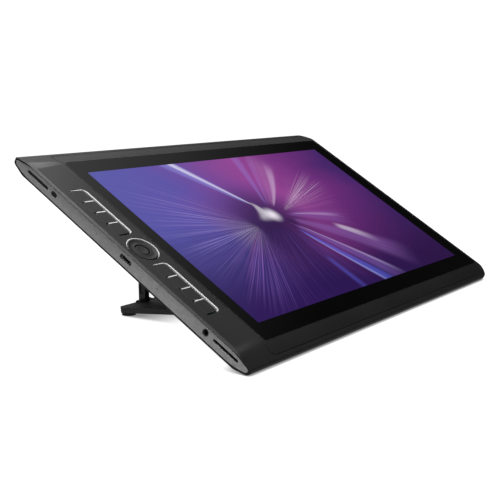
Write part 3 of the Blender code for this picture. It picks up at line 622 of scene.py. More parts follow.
def lit_glass(name):
    """Glass over the lit screen, with a black printed border."""
    nodes = Nodes(name)
    picture = Picture(nodes)
    picture.ground()
    burst = (BURST_U, BURST_V)
    left_focus = (-38.0, 0.0)
    right_focus = (10.0, 11.0)
    distance, _ = picture.polar(*burst)
    near_left, _ = picture.polar(-32.0, -16.0)
    picture.shade(nodes.times(nodes.spread(near_left, 6.0, 85.0, 1.0, 0.0, True), 0.80))
    picture.shade(nodes.times(nodes.spread(distance, 10.0, 60.0, 1.0, 0.0, True), 0.45))
    # Fans: angle, width, reach, rate, colour, strength, seed and inner end.
    # Beams: angle, width, near end, far end, colour, strength, seed and bend.
    for fan in (
        (22.0, 20.0, 150.0, 0.8, (0.50, 0.36, 0.72), 0.55, 1.0),
        (-6.0, 18.0, 140.0, 1.2, (0.42, 0.36, 0.86), 0.60, 2.0),
        (-40.0, 22.0, 150.0, 1.3, (0.34, 0.16, 0.62), 0.75, 3.0),
        (-31.0, 5.0, 120.0, 0.5, (0.46, 0.14, 0.44), 0.55, 19.0),
        (-14.0, 26.0, 62.0, 1.9, (0.86, 0.78, 0.90), 0.85, 4.0, 4.0),
    ):
        picture.fan(left_focus, True, *fan)
    picture.fan(burst, False, -100.0, 34.0, 120.0, 0.9, (0.16, 0.10, 0.52), 0.60, 20.0, 12.0)
    for beam in (
        (122.5, 5.0, 20.0, 150.0, (0.30, 0.32, 0.86), 0.90, 5.0),
        (120.4, 2.3, 12.0, 150.0, (0.92, 0.90, 1.00), 0.98, 6.0),
        (60.0, 3.4, 14.0, 125.0, (0.28, 0.20, 0.66), 0.70, 7.0, 4.0),
        (51.0, 2.4, 14.0, 125.0, (0.36, 0.16, 0.52), 0.75, 21.0, 2.0),
        (39.0, 7.0, 16.0, 125.0, (0.42, 0.17, 0.44), 0.80, 8.0, 8.0),
        (34.0, 2.6, 16.0, 112.0, (0.66, 0.48, 0.72), 0.85, 9.0, 8.0),
    ):
        picture.beam(burst, *beam)
    for fan in (
        (19.0, 9.0, 128.0, 1.5, (0.90, 0.80, 0.94), 1.0, 10.0, 4.0),
        (-2.0, 15.0, 110.0, 1.0, (0.42, 0.14, 0.46), 0.70, 11.0),
    ):
        picture.fan(right_focus, False, *fan)
    for beam in (
        (-9.0, 6.5, 18.0, 110.0, (0.24, 0.10, 0.38), 0.85, 12.0, -5.0),
        (-7.0, 1.6, 26.0, 100.0, (0.60, 0.42, 0.70), 0.70, 22.0, -4.0),
        (-30.0, 6.5, 18.0, 165.0, (0.26, 0.12, 0.42), 0.85, 13.0, -6.0),
        (-23.0, 3.0, 70.0, 125.0, (0.86, 0.74, 0.92), 0.90, 14.0, -8.0),
        (-54.0, 4.5, 14.0, 150.0, (0.24, 0.13, 0.50), 0.85, 15.0, -3.0),
        (-50.0, 1.3, 24.0, 140.0, (0.62, 0.50, 0.84), 0.70, 23.0, -3.0),
        (-66.0, 3.2, 24.0, 150.0, (0.12, 0.15, 0.82), 0.95, 16.0, 2.0),
        (-69.0, 1.2, 30.0, 140.0, (0.42, 0.44, 0.95), 0.80, 24.0, 2.0),
        (-87.0, 2.2, 60.0, 130.0, (0.10, 0.10, 0.60), 0.80, 17.0),
    ):
        picture.beam(burst, *beam)
    glow = nodes.spread(distance, 0.0, 13.0, 0.95, 0.0, True)
    picture.lighten(glow, (0.92, 0.86, 0.96))
    bright, dark = (BURST_U - 10.0, BURST_V + 24.0), (BURST_U + 6.0, BURST_V - 4.0)
    picture.beam(bright, -70.0, 17.0, 1.0, 34.0, (0.95, 0.90, 0.98), 0.92, 18.0, -30.0)
    picture.beam(dark, -50.0, 30.0, 2.0, 22.0, (0.012, 0.003, 0.04), 0.92, 25.0)
    pixels = nodes.noise(nodes.place(), 2400.0, 1.0)
    shown = nodes.blend(nodes.spread(pixels, 0.3, 0.7, 0.0, 0.10), picture.image, grey(0.0))
    shown = nodes.blend(picture.inside_frame(), grey(0.0), shown)
    nodes.paint("Emission Color", shown)
    nodes.paint("Emission Strength", 1.0)
    cloud = nodes.noise(nodes.place(), 40.0)
    ink = nodes.blend(cloud, (0.0008, 0.0008, 0.0009), (0.0014, 0.0014, 0.0015))
    nodes.paint("Base Color", ink)
    wipe = nodes.noise(nodes.stretched(nodes.place(), (1.0, 2.5, 1.0)), 14.0, 5.0, 0.6)
    nodes.paint("Roughness", nodes.spread(wipe, 0.35, 0.7, 0.04, 0.09))
    nodes.paint("Specular IOR Level", 0.35)
    nodes.bump(nodes.noise(nodes.place(), 900.0, 2.0), 0.02, 0.01)
    return nodes.block


LOOKS = {
    "case": moulded("case", (0.0110, 0.0110, 0.0112), 0.46, 0.30, specular=0.32),
    "strip_panel": moulded("strip_panel", (0.0085, 0.0085, 0.0086), 0.48, 0.30, specular=0.32),
    "cover_glass": lit_glass("cover_glass"),
    "display": moulded("display", (0.010, 0.010, 0.014), 0.30, 0.1),
    "side_strip": metal("side_strip", (0.46, 0.46, 0.465), 0.42, (1.0, 0.25, 1.0), 0.75, grain=0.06),
    "bright_trim": metal("bright_trim", grey(0.94), 0.32, (1.0, 0.2, 1.0), 0.25, grain=0.05),
    "key": moulded("key", (0.0100, 0.0100, 0.0102), 0.50, 0.30, specular=0.3),
    "rubber": rubber("rubber", grey(0.012)),
    "board": circuit_board("board"),
    "cast_frame": metal("cast_frame", (0.30, 0.30, 0.31), 0.45, grain=0.3),
    "copper_pipe": metal("copper_pipe", (0.70, 0.32, 0.16), 0.30, (0.05, 1.0, 1.0)),
    "cell": wrapped_cell("cell"),
    "port_steel": metal("port_steel", (0.28, 0.28, 0.29), 0.34, (0.2, 1.0, 1.0)),
    "dark_plastic": moulded("dark_plastic", (0.014, 0.014, 0.015), 0.40, 0.25),
    "screw": metal("screw", grey(0.06), 0.35),
    "stand": moulded("stand", (0.0165, 0.0165, 0.0170), 0.44, 0.30),
    "pin": metal("pin", (0.30, 0.30, 0.31), 0.30, (0.05, 1.0, 1.0)),
}


# ---------------------------------------------------------------- pieces

def dress(piece, node, axes, edge=0.15, segments=2):
    """Gives a rebuilt piece its place, softened edges, material, body and slot."""
    piece.name = node + ".fine"
    piece.data.transform(axes)
    piece.data.shade_smooth()
    if edge:
        bevel = piece.modifiers.new("edges", "BEVEL")
        bevel.width = edge * MM
        bevel.segments = segments
        bevel.limit_method = "ANGLE"
        bevel.angle_limit = math.radians(32)
        bevel.use_clamp_overlap = False
        bevel.miter_outer = "MITER_ARC"
    weighted = piece.modifiers.new("normals", "WEIGHTED_NORMAL")
    weighted.weight = 60
    slot = NODE_SLOT[node]
    piece.data.materials.clear()
    piece.data.materials.append(LOOKS[slot])
    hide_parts(node)
    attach(piece, NODE_BODY[node])


def plan_corners():
    """The case seen from the front: crisp corners on the left, round ones on the right."""
    left, right = PLAN_LEFT_RADIUS, PLAN_RIGHT_RADIUS
    width, height = CASE_HALF_WIDTH, CASE_HALF_HEIGHT
    return [
        (-width, -height, left), (width, -height, right),
        (width, height, right), (-width, height, left),
    ]


def case_shape(name, inset):
    """The outer shape of the whole case, drawn in by an inset."""
    section = rounded(drawn_in(mirrored(SECTION_HALF), inset))
    plan = rounded(drawn_in(plan_corners(), inset))
    front = rounded(drawn_in(mirrored(FRONT_HALF), inset))
    shape = prism(name, section, "x", -FAR, FAR)
    keep_inside(shape, prism("plan", plan, "z", -FAR, FAR))
    return keep_inside(shape, prism("front", front, "y", -FAR, FAR))


def cavity():
    """The room inside the case."""
    width, height = CAVITY_HALF_WIDTH, CAVITY_HALF_HEIGHT
    room = block("cavity", -width, width, -height, height, -FAR, FAR)
    return keep_inside(room, case_shape("inner", WALL))


def strip_recess(side):
    """The recess for one side strip."""
    outline = rounded(drawn_in(mirrored(STRIP_HALF), -GAP))
    inner = side * (CASE_HALF_WIDTH - STRIP_DEPTH - GAP)
    outer = side * (CASE_HALF_WIDTH + 2)
    return prism("strip_recess", outline, "x", min(inner, outer), max(inner, outer))


def side_tunnels(grow=0.0):
    """Tools that cut the openings on the left edge, each made larger by grow."""
    slots = [
        (VOLUME_V, VOLUME_LENGTH, VOLUME_HEIGHT),
        (POWER_V, POWER_LENGTH, POWER_HEIGHT),
        (USB_V, USB_LENGTH, USB_HEIGHT),
        (CARD_V, CARD_LENGTH, CARD_HEIGHT),
    ]
    outlines = [
        rounded(lozenge(v, PORT_W, length + grow, height + grow)) for v, length, height in slots
    ]
    outlines.append(circle(JACK_V, PORT_W, JACK_RADIUS + grow / 2))
    outer, inner = -CASE_HALF_WIDTH - 2.0, -CASE_HALF_WIDTH + 6.0
    return [prism("tunnel", outline, "x", outer, inner) for outline in outlines]


def display_outline(grow):
    """The display frame's outline: it widens a little on the left below and above the glass."""
    left, right, height = FRAME_LEFT - grow, FRAME_RIGHT + grow, FRAME_HALF_HEIGHT + grow
    waist, step = GLASS_LEFT - 0.5 - grow, GLASS_HALF_HEIGHT - 1.0
    near, far = 4.0 + grow, PLAN_RIGHT_RADIUS - 4.0 + grow
    return [
        (left, -height, near), (right, -height, far), (right, height, far), (left, height, near),
        (left, step + 4.0, 2.0), (waist, step, 2.0), (waist, -step, 2.0), (left, -step - 4.0, 2.0),
    ]


def key_group_corners(top):
    """The opening round one group of keys and its trim."""
    bottom = top - KEYS_IN_GROUP * KEY_PITCH
    left, right = KEY_LEFT - 0.3, TRIM_RIGHT + 0.2
    low, high = bottom - 1.4, top + 1.4
    return [(left, low, 1.0), (right, low, 5.0), (right, high, 5.2), (left, high, 1.0)]


def make_case():
    """Front frame, inner frame with the sloped strips, back shell and the near edge's rubber."""
    whole = case_shape("whole", 0.0)
    room = cavity()

    bezel = duplicate(whole)
    cut(bezel, block("below", -FAR, FAR, -FAR, FAR, -FAR, PARTING_W + GAP / 2))
    cut(bezel, duplicate(room))
    cut(bezel, prism("pocket", rounded(display_outline(DISPLAY_SEAM)), "z", -FAR, FAR))
    for side in (-1, 1):
        cut(bezel, strip_recess(side))
    for tunnel in side_tunnels(0.4):
        cut(bezel, tunnel)
    for top in GROUP_TOPS.values():
        cut(bezel, prism("keys", rounded(key_group_corners(top)), "z", -5, 5))
    cut(bezel, prism("ring", circle(RING_U, 0, TRIM_OUTER_RADIUS + 0.2, 96), "z", -5, 5))
    dress(bezel, "front_bezel", TABLET, 0.12)

    panel = prism("panel", rounded(display_outline(0.0)), "z", -6, 5)
    keep_inside(panel, duplicate(whole))
    cut(panel, case_shape("inner", FRAME_THICK))
    half = GLASS_HALF_HEIGHT + 0.15
    hole = rectangle(GLASS_LEFT - 0.15, GLASS_RIGHT + 0.15, -half, half, 3.3)
    cut(panel, prism("hole", rounded(hole), "z", -FAR, FAR))
    dress(panel, "display_frame", TABLET, 0.12)

    cover = whole
    cut(cover, block("above", -FAR, FAR, -FAR, FAR, PARTING_W - GAP / 2, FAR))
    cut(cover, room)
    for side in (-1, 1):
        cut(cover, strip_recess(side))
    for tunnel in side_tunnels(0.4):
        cut(cover, tunnel)
    for u, v in SCREW_PLACES:
        cut(cover, prism("seat", circle(u, v, SCREW_HEAD_RADIUS + 0.3), "z", -25, -CASE_DEPTH + 1.1))
        cut(cover, prism("bore", circle(u, v, SCREW_SHANK_RADIUS + 0.4), "z", -25, -15))
    dish = circle(FAN_U, FAN_V, INTAKE_RADIUS + 4.0, 96)
    cut(cover, prism("dish", dish, "z", -25, -CASE_DEPTH + 0.5))
    for i in range(INTAKE_SLOTS):
        step = (i - (INTAKE_SLOTS - 1) / 2) * INTAKE_PITCH
        reach = math.sqrt(INTAKE_RADIUS ** 2 - step ** 2)
        slot = rounded(lozenge(FAN_U, FAN_V + step, 2 * reach, 1.8))
        cut(cover, prism("intake", slot, "z", -25, -15))
    vents = ((FAN_U, 8, 97.0, 107.0), (-140, 6, -104, -98), (140, 6, -104, -98))
    for middle, slots, low, high in vents:
        for i in range(slots):
            u = middle + (i - (slots - 1) / 2) * VENT_PITCH
            slot = rounded(rectangle(u - VENT_HALF_WIDTH, u + VENT_HALF_WIDTH, low, high, 1.1))
            cut(cover, prism("vent", slot, "z", -25, -9))
    for side in (-1, 1):
        middle, reach = side * NOSE_FOOT_U, NOSE_FOOT_LENGTH / 2 + GAP
        groove = rounded(nose_foot_corners(GAP))
        cut(cover, prism("groove", groove, "x", middle - reach, middle + reach))
    dress(cover, "back_cover", TABLET, 0.12)

    for node, side in (("front_foot_left", -1), ("front_foot_right", 1)):
        middle, reach = side * NOSE_FOOT_U, NOSE_FOOT_LENGTH / 2
        strip = prism(node, rounded(nose_foot_corners(0.0)), "x", middle - reach, middle + reach)
        dress(strip, node, TABLET, 0.12)


def nose_foot_corners(grow):
    """Cross-section of the rubber strip under the near edge."""
    turn = Matrix.Rotation(NOSE_FOOT_SLOPE, 2)
    length = NOSE_FOOT_HALF_LENGTH + grow
    height = NOSE_FOOT_HALF_HEIGHT + grow
    corners = []
    for a, b in [(-length, -height), (length, -height), (length, height), (-length, height)]:
        place = turn @ Vector((a, b)) + Vector((NOSE_FOOT_V, NOSE_FOOT_W))
        corners.append((place.x, place.y, NOSE_FOOT_RADIUS + grow))
    return corners


def make_glass():
    """Cover glass with ground edges."""
    half = GLASS_HALF_HEIGHT
    corners = rectangle(GLASS_LEFT, GLASS_RIGHT, -half, half, 3.2)
    glass = chamfered("glass", corners, -GLASS_THICK, 0.0, 0.15)
    dress(glass, "cover_glass", TABLET, 0.0)


def crown(side):
    """A bar whose outer face is slightly domed across its height, for the side strips."""
    outline = []
    for step in range(-STRIP_CROWN_HALF, STRIP_CROWN_HALF + 1):
        sag = CROWN_RADIUS - math.sqrt(CROWN_RADIUS ** 2 - step ** 2)
        outline.append(Vector((side * (CASE_HALF_WIDTH - sag), CROWN_W + step)))
    inner = side * (CASE_HALF_WIDTH - 2 * STRIP_DEPTH)
    outline += [Vector((inner, CROWN_W + end)) for end in (STRIP_CROWN_HALF, -STRIP_CROWN_HALF)]
    return prism("crown", outline, "y", -FAR, FAR)


def make_side_strips():
    """Satin strips in the left and right edges; the left one has the ports and buttons."""
    outline = rounded(mirrored(STRIP_HALF))
    left = prism("left", outline, "x", -CASE_HALF_WIDTH, -CASE_HALF_WIDTH + STRIP_DEPTH)
    keep_inside(left, crown(-1))
    for tunnel in side_tunnels():
        cut(left, tunnel)
    for v in (WINDOW_V, MICROPHONE_V):
        dot = circle(v, PORT_W, DOT_RADIUS, 32)
        cut(left, prism("dot", dot, "x", -CASE_HALF_WIDTH - 1, -CASE_HALF_WIDTH + 1))
    dress(left, "left_side_insert", TABLET, 0.25, 3)
    right = prism("right", outline, "x", CASE_HALF_WIDTH - STRIP_DEPTH, CASE_HALF_WIDTH)
    keep_inside(right, case_shape("outer", 0.0))
    keep_inside(right, crown(1))
    dress(right, "right_side_insert", TABLET, 0.2)


def crowned(name, v, length, height, inner, outer):
    """A side button whose outer face is gently domed."""
    rings = []
    for inset, reach in ((0.0, 0.0), (0.0, 0.62), (0.08, 0.8), (0.22, 0.92), (0.42, 1.0)):
        corners = lozenge(v, PORT_W, length - 2 * inset, height - 2 * inset)
        rings.append((slot_ring(corners), inner + (outer - inner) * reach))
    return lofted(name, rings, "x")


def slot_ring(corners):
    """Points of a slot shape, always the same number of them."""
    points = []
    for i, (x, y, radius) in enumerate(corners):
        places = [Vector(corners[j][:2]) for j in (i - 1, i, (i + 1) % 4)]
        middle = places[1].copy()
        middle += (places[0] - places[1]).normalized() * radius
        middle += (places[2] - places[1]).normalized() * radius
        start = math.pi * (1 + i / 2)
        for k in range(9):
            angle = start + math.pi / 2 * k / 8
            points.append(middle + Vector((math.cos(angle), math.sin(angle))) * radius)
    return points


def make_side_buttons():
    """Volume rocker and power button."""
    outer = -CASE_HALF_WIDTH + 0.1
    inner = -CASE_HALF_WIDTH + STRIP_DEPTH + 1.0
    length, height = VOLUME_LENGTH - 2 * GAP, VOLUME_HEIGHT - 2 * GAP
    rocker = crowned("rocker", VOLUME_V, length, height, inner, outer)
    for end in (-1, 1):
        dimple = turned("dimple", [(0.0, -0.12), (0.5, -0.02), (0.6, 0.3), (0.0, 0.3)], 32)
        dimple.data.transform(Matrix.Rotation(-math.pi / 2, 4, "Y"))
        cut(rocker, shift(dimple, outer, VOLUME_V + end * 8.5, PORT_W))
    dress(rocker, "volume_rocker", TABLET, 0.0)
    length, height = POWER_LENGTH - 2 * GAP, POWER_HEIGHT - 2 * GAP
    button = crowned("button", POWER_V, length, height, inner, outer)
    dress(button, "power_button", TABLET, 0.0)


def make_ports():
    """Charging port, sound jack and card slot behind the left strip."""
    port = prism("port", rounded(lozenge(USB_V, PORT_W, 9.6, 3.3)), "x", -207.6, -198.0)
    cut(port, prism("mouth", rounded(lozenge(USB_V, PORT_W, 8.6, 2.6)), "x", -210, -200.0))
    tongue = rectangle(USB_V - 3.3, USB_V + 3.3, PORT_W - 0.35, PORT_W + 0.35)
    join(port, prism("tongue", rounded(tongue), "x", -206.4, -199.0))
    dress(port, "usb_c_port", TABLET, 0.08)
    jack = prism("jack", circle(JACK_V, PORT_W, JACK_RADIUS - GAP), "x", -208.2, -193.0)
    cut(jack, prism("bore", circle(JACK_V, PORT_W, JACK_BORE), "x", -210, -194.0))
    dress(jack, "audio_jack", TABLET, 0.12)
    low, high = CARD_V - 13.5, CARD_V + 13.5
    card = block("card", -204.8, -176.0, low, high, PORT_W - 2.0, PORT_W + 2.0)
    low, high = CARD_V - 12.1, CARD_V + 12.1
    cut(card, block("mouth", -206, -180.0, low, high, PORT_W - 1.2, PORT_W + 1.2))
    dress(card, "sd_card_slot", TABLET, 0.12)


def key_corners(index, top):
    """One key's outline; the group's outer right corners are round."""
    upper = top - index * KEY_PITCH - (0.0 if index == 0 else 0.8)
    lower = top - (index + 1) * KEY_PITCH + (0.0 if index == KEYS_IN_GROUP - 1 else 0.8)
    top_radius = 3.2 if index == 0 else 0.4
    bottom_radius = 3.2 if index == KEYS_IN_GROUP - 1 else 0.4
    return [
        (KEY_LEFT, lower, 0.4), (KEY_RIGHT, lower, bottom_radius),
        (KEY_RIGHT, upper, top_radius), (KEY_LEFT, upper, 0.4),
    ]


def trim_corners(top):
    """The bright line: over the top of a key group, down its right side and a little way back."""
    bottom = top - KEYS_IN_GROUP * KEY_PITCH
    right = TRIM_RIGHT
    inner = right - TRIM_WIDTH
    left = KEY_LEFT + 0.5
    return [
        (left, top + 0.55, 0), (left, top + 1.05, 0), (right, top + 1.2, 5.0),
        (right, bottom - 1.2, 4.6), (inner - 4.0, bottom - 1.2, 0),
        (inner - 4.0, bottom - 0.65, 0), (inner, bottom - 0.3, 3.4), (inner, top + 0.2, 3.6),
    ]


def make_controls():
    """Keys, their bright lines and separators, the touch ring and the home button."""
    number = 1
    for group, top in GROUP_TOPS.items():
        for index in range(KEYS_IN_GROUP):
            outline = rounded(key_corners(index, top))
            key = prism("key", outline, "z", KEY_TOP_W - KEY_THICK, KEY_TOP_W)
            dress(key, f"express_key_{number}", TABLET, 0.25, 4)
            number += 1
        trim = prism("trim", rounded(trim_corners(top)), "z", -1.6, 0.2)
        bottom = top - KEYS_IN_GROUP * KEY_PITCH
        tail = TRIM_RIGHT - TRIM_WIDTH - 1.2
        cut(trim, block("end", -FAR, tail, bottom - 3, bottom + 3, -3, 3))
        dress(trim, f"key_trim_{group}", TABLET, 0.16, 3)
        half = DIVIDER_THICK / 2
        high, low = top - KEY_PITCH + half, top - (KEYS_IN_GROUP - 1) * KEY_PITCH - half
        comb = block("comb", DIVIDER_RIGHT - 1, DIVIDER_RIGHT, low, high, -3.1, -2.3)
        for i in range(1, KEYS_IN_GROUP):
            v = top - i * KEY_PITCH
            tooth = rounded(rectangle(DIVIDER_LEFT, DIVIDER_RIGHT, v - half, v + half, 0.0))
            join(comb, prism("tooth", tooth, "z", -3.1, 0.15))
        dress(comb, f"key_dividers_{group}", TABLET, 0.12, 3)

    profile = [(HOME_RADIUS + 0.7, -0.9), (HOME_RADIUS + 0.95, -0.65)]
    for i in range(13):
        t = i / 12
        radius = HOME_RADIUS + 1.3 + (RING_RADIUS - 0.5 - HOME_RADIUS - 1.3) * t
        profile.append((radius, -0.65 + 0.3 * t - 0.35 * math.sin(math.pi * t)))
    profile += [(RING_RADIUS - 0.15, -0.4), (RING_RADIUS, -0.6), (RING_RADIUS, -2.4)]
    profile += [(HOME_RADIUS + 0.7, -2.4)]
    dress(shift(turned("touch", profile), RING_U, 0, 0), "touch_ring", TABLET, 0.0)
    trim = prism("crescent", circle(RING_U, 0, TRIM_OUTER_RADIUS, 128), "z", -1.6, 0.15)
    inner = circle(RING_U - 0.75, -0.75, TRIM_OUTER_RADIUS - 0.55, 128)
    cut(trim, prism("inner", inner, "z", -3, 2))
    cut(trim, prism("clear", circle(RING_U, 0, RING_RADIUS + GAP, 128), "z", -3, 2))
    dress(trim, "ring_trim", TABLET, 0.06)
    profile = [
        (0.0, -1.25), (2.0, -1.2), (3.6, -1.08), (HOME_RADIUS - 0.55, -0.96),
        (HOME_RADIUS - 0.2, -1.0), (HOME_RADIUS, -1.2), (HOME_RADIUS, -2.4), (0.0, -2.4),
    ]
    dress(shift(turned("home", profile), RING_U, 0, 0), "home_button", TABLET, 0.0)


def make_screws():
    """Four low-headed screws with a hexagonal socket."""
    for number, (u, v) in enumerate(SCREW_PLACES, 1):
        screw = prism("screw", circle(u, v, SCREW_HEAD_RADIUS), "z", -19.95, -19.2)
        join(screw, prism("shank", circle(u, v, SCREW_SHANK_RADIUS, 24), "z", -19.5, -8.0))
        cut(screw, prism("socket", circle(u, v, 1.1, 6), "z", -22, -19.4))
        dress(screw, f"case_screw_{number}", TABLET, 0.1)


def make_stand_mount():
    """Bar on the tablet's back with two lugs for each arm, and the hinge pins in them."""
    top = -CASE_DEPTH - GAP
    reach = ARM_U + ARM_WIDTH / 2 + GAP + LUG_THICK
    bar = prism("mount", rounded(rectangle(87.0, 92.0, top - 2.2, top, 0.5)), "x", -reach, reach)
    lug = [
        (79.4, top, 0.3), (79.4, -28.2, 3.2), (86.4, -28.2, 3.2),
        (91.5, top - 2.0, 0.5), (91.5, top, 0.3),
    ]
    for side in (-1, 1):
        for edge in (-1, 1):
            near = side * ARM_U + edge * (ARM_WIDTH / 2 + GAP)
            far = near + edge * LUG_THICK
            join(bar, prism("lug", rounded(lug), "x", min(near, far), max(near, far)))
        low, high = side * ARM_U - 8, side * ARM_U + 8
        cut(bar, prism("bore", circle(HINGE_V, HINGE_W, PIN_RADIUS + GAP), "x", low, high))
    dress(bar, "stand_mount", TABLET, 0.2)
    for node, side in (("leg_hinge_pin_left", -1), ("leg_hinge_pin_right", 1)):
        half = ARM_WIDTH / 2 + GAP + LUG_THICK
        low, high = side * ARM_U - half, side * ARM_U + half
        pin = prism("pin", circle(HINGE_V, HINGE_W, PIN_RADIUS, 48), "x", low, high)
        dress(pin, node, TABLET, 0.15)
    low, high = -CASE_DEPTH - 3.2, -CASE_DEPTH - GAP
    pad = prism("pad", rounded(rectangle(-60, 60, -68, -58, 2.0)), "z", low, high)
    dress(pad, "landing_pad", TABLET, 0.4, 3)


def make_leg():
    """Two arms with a channel in their outer faces and the bar that joins them."""
    foot, top, low = -LEG_LENGTH, ARM_TOP_RADIUS, ARM_FOOT_RADIUS
    outline = [
        (top, top, top - 0.1), (low, foot - low, low - 0.1),
        (-low, foot - low, low - 0.1), (-top, top, top - 0.1),
    ]
    for node, side in (("leg_arm_left", -1), ("leg_arm_right", 1)):
        near, far = side * ARM_U - ARM_WIDTH / 2, side * ARM_U + ARM_WIDTH / 2
        arm = prism("arm", rounded(outline), "x", near, far)
        outer = near if side < 0 else far
        channel = rounded(rectangle(-1.9, 1.9, foot + 8, -9, 1.2))
        cut(arm, prism("channel", channel, "x", outer - 0.9, outer + 0.9))
        for z in (0, foot):
            cut(arm, prism("bore", circle(0, z, PIN_RADIUS + GAP), "x", near - 1, far + 1))
        dress(arm, node, LEG, 0.3, 3)
    inner = ARM_U - ARM_WIDTH / 2 - GAP
    bar = prism("bar", rounded(rectangle(-1.6, 1.6, -30, -14, 1.0)), "x", -inner, inner)
    dress(bar, "leg_crossbar", LEG, 0.3, 3)


def make_base():
    """Plate that lies behind the tablet, with shallow wells under it, its pins and rubber feet."""
    corner, half = 5.0, PLATE_HALF_WIDTH
    outline = [
        (-half, PLATE_FAR - corner, 0), (-half, PLATE_NEAR, 10), (half, PLATE_NEAR, 10),
        (half, PLATE_FAR - corner, 0), (half - corner, PLATE_FAR, 0), (-half + corner, PLATE_FAR, 0),
    ]
    plate = prism("plate", rounded(outline), "z", PLATE_BOTTOM, PLATE_TOP)
    notch = ARM_WIDTH / 2 + 0.4
    boss = notch + 5.0
    for side in (-1, 1):
        middle = side * ARM_U
        join(plate, prism("boss", circle(0, 0, 3.3), "x", middle - boss, middle + boss))
        cut(plate, block("notch", middle - notch, middle + notch, -4.4, PLATE_FAR + 3, -8, 8))
        low, high = middle - boss - 1, middle + boss + 1
        cut(plate, prism("bore", circle(0, 0, PIN_RADIUS + GAP), "x", low, high))
    for low, high in ((-84.0, -30.0), (-26.0, 26.0), (30.0, 84.0)):
        well = rounded(rectangle(low, high, -112.0, -14.0, 5.0))
        cut(plate, prism("well", well, "z", PLATE_BOTTOM - 1, PLATE_BOTTOM + 1.2))
    dress(plate, "base_plate", BASE, 0.35, 3)
    for node, side in (("foot_pin_left", -1), ("foot_pin_right", 1)):
        middle = side * ARM_U
        pin = prism("pin", circle(0, 0, PIN_RADIUS, 48), "x", middle - boss, middle + boss)
        dress(pin, node, BASE, 0.15)
    for node, side in (("base_foot_left", -1), ("base_foot_right", 1)):
        low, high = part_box(node)
        centre = (low + high) / 2
        radius = (high.x - low.x) / 2 / MM
        foot_y = centre.y / MM
        foot = prism("foot", circle(side * 120.5, foot_y, radius, 96), "z", 0, 1)
        for vertex in foot.data.vertices:
            if vertex.co.z > 0:
                run = vertex.co.y / MM - BASE_ORIGIN.y / MM
                under = PLATE_BOTTOM / math.cos(PLATE_SLOPE) - run * math.tan(PLATE_SLOPE)
                vertex.co.z = BASE_ORIGIN.z + (under - GAP) * MM
        foot.data.transform(BASE.inverted())
        dress(foot, node, BASE, 0.3, 3)


make_case()
make_glass()
make_side_strips()
make_side_buttons()
make_ports()
make_controls()
make_screws()
make_stand_mount()
make_leg()
make_base()

for node, carried in frame["nodes"].items():
    if not carried.hide_render:
        carried.data.materials.clear()
        carried.data.materials.append(LOOKS[NODE_SLOT[node]])


# ---------------------------------------------------------------- floor, light and camera

def make_floor():
    """White sweep under the tablet: it glows a little so that it meets the white room, and a painted
    contact shadow dims the glow close under the tablet and stand.
    """
    shape = bmesh.new()
    bmesh.ops.create_circle(shape, cap_ends=True, segments=96, radius=40.0)
    floor = to_object("floor", shape)
    nodes = Nodes("floor")
    cloud = nodes.noise(nodes.place(), 6.0, 3.0)
    nodes.paint("Base Color", nodes.blend(cloud, grey(0.14), grey(0.15)))
    nodes.paint("Roughness", 0.9)
    nodes.paint("Specular IOR Level", 0.1)
    # Painted contact shadow: where ambient occlusion finds the tablet or stand close above, the glow
    # seen by the camera dims from white to dark grey.
    contact_shadow_probe = nodes.add("ShaderNodeAmbientOcclusion", samples=16)
    contact_shadow_probe.inputs["Distance"].default_value = 0.011
    unshadowed_share = nodes.spread(contact_shadow_probe.outputs["AO"], 0.10, 0.60)
    glow = nodes.blend(unshadowed_share, grey(0.22), grey(1.0))
    seen = nodes.add("ShaderNodeLightPath").outputs["Is Camera Ray"]
    nodes.paint("Emission Color", nodes.blend(seen, grey(0.30), glow))
    nodes.paint("Emission Strength", 1.0)
    floor.data.materials.append(nodes.block)


def make_light(name, place, aim, size, power):
    """A soft box that points at a place, all in the row frame."""
    data = bpy.data.lights.new(name, "AREA")
    data.shape = "RECTANGLE"
    data.size, data.size_y = size
    data.energy = power
    light = bpy.data.objects.new(name, data)
    light.location = place
    light.rotation_euler = (Vector(aim) - Vector(place)).to_track_quat("-Z", "Y").to_euler()
    bpy.context.scene.collection.objects.link(light)


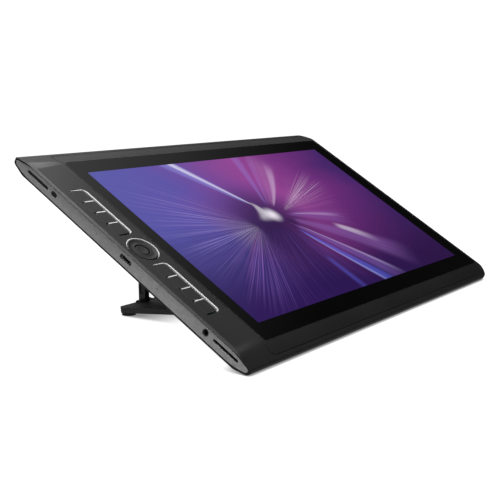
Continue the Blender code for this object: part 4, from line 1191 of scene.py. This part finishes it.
GLOW_DIRECTION = (0.36, 0.30, 0.883)


def make_room():
    """White to the camera; for everything else a dim room with one soft glow high on the right."""
    nodes = Nodes("room", world=True)
    bpy.context.scene.world = nodes.block
    nearness = nodes.add("ShaderNodeVectorMath", operation="DOT_PRODUCT")
    nodes.link(nodes.add("ShaderNodeTexCoord").outputs["Generated"], nearness.inputs[0])
    nodes.feed(nearness, 1, GLOW_DIRECTION)
    rise = nodes.spread(nearness.outputs["Value"], 0.79, 0.99)
    nodes.paint("Strength", nodes.math("ADD", nodes.math("POWER", rise, 2.0), 0.015))
    nodes.paint("Color", (1.0, 1.0, 1.0, 1.0))
    white = nodes.add("ShaderNodeBackground")
    nodes.feed(white, "Color", (1.0, 1.0, 1.0, 1.0))
    nodes.feed(white, "Strength", 1.05)
    mix = nodes.add("ShaderNodeMixShader")
    seen = nodes.add("ShaderNodeLightPath").outputs["Is Camera Ray"]
    for index, source in enumerate((seen, nodes.shader.outputs[0], white.outputs[0])):
        nodes.link(source, mix.inputs[index])
    nodes.link(mix.outputs[0], nodes.tree.nodes["World Output"].inputs["Surface"])


make_floor()
make_room()
make_light("overhead", (-0.3, 0.0, 2.2), (0.0, 0.0, 0.0), (2.2, 2.2), 50.0)
make_light("far_right", (0.55, 0.85, 1.75), (-0.15, 0.05, 0.10), (0.9, 0.7), 14.0)
make_light("left_fill", (-1.6, -0.6, 0.8), (-0.2, 0.0, 0.05), (0.8, 0.8), 5.0)

bpy.context.scene.view_settings.view_transform = "Standard"

CAMERA_PLACE = Vector((-0.7255, -0.478412, 0.193865))
CAMERA_AIM = Vector((0.8044, 0.5701, -0.1670))
lens = bpy.data.cameras.new("camera")
lens.lens = 70.45
lens.sensor_width = 36.0
lens.clip_start, lens.clip_end = 0.01, 200.0
camera = bpy.data.objects.new("camera", lens)
camera.location = CAMERA_PLACE
camera.rotation_euler = CAMERA_AIM.to_track_quat("-Z", "Y").to_euler()
bpy.context.scene.collection.objects.link(camera)
bpy.context.scene.camera = camera
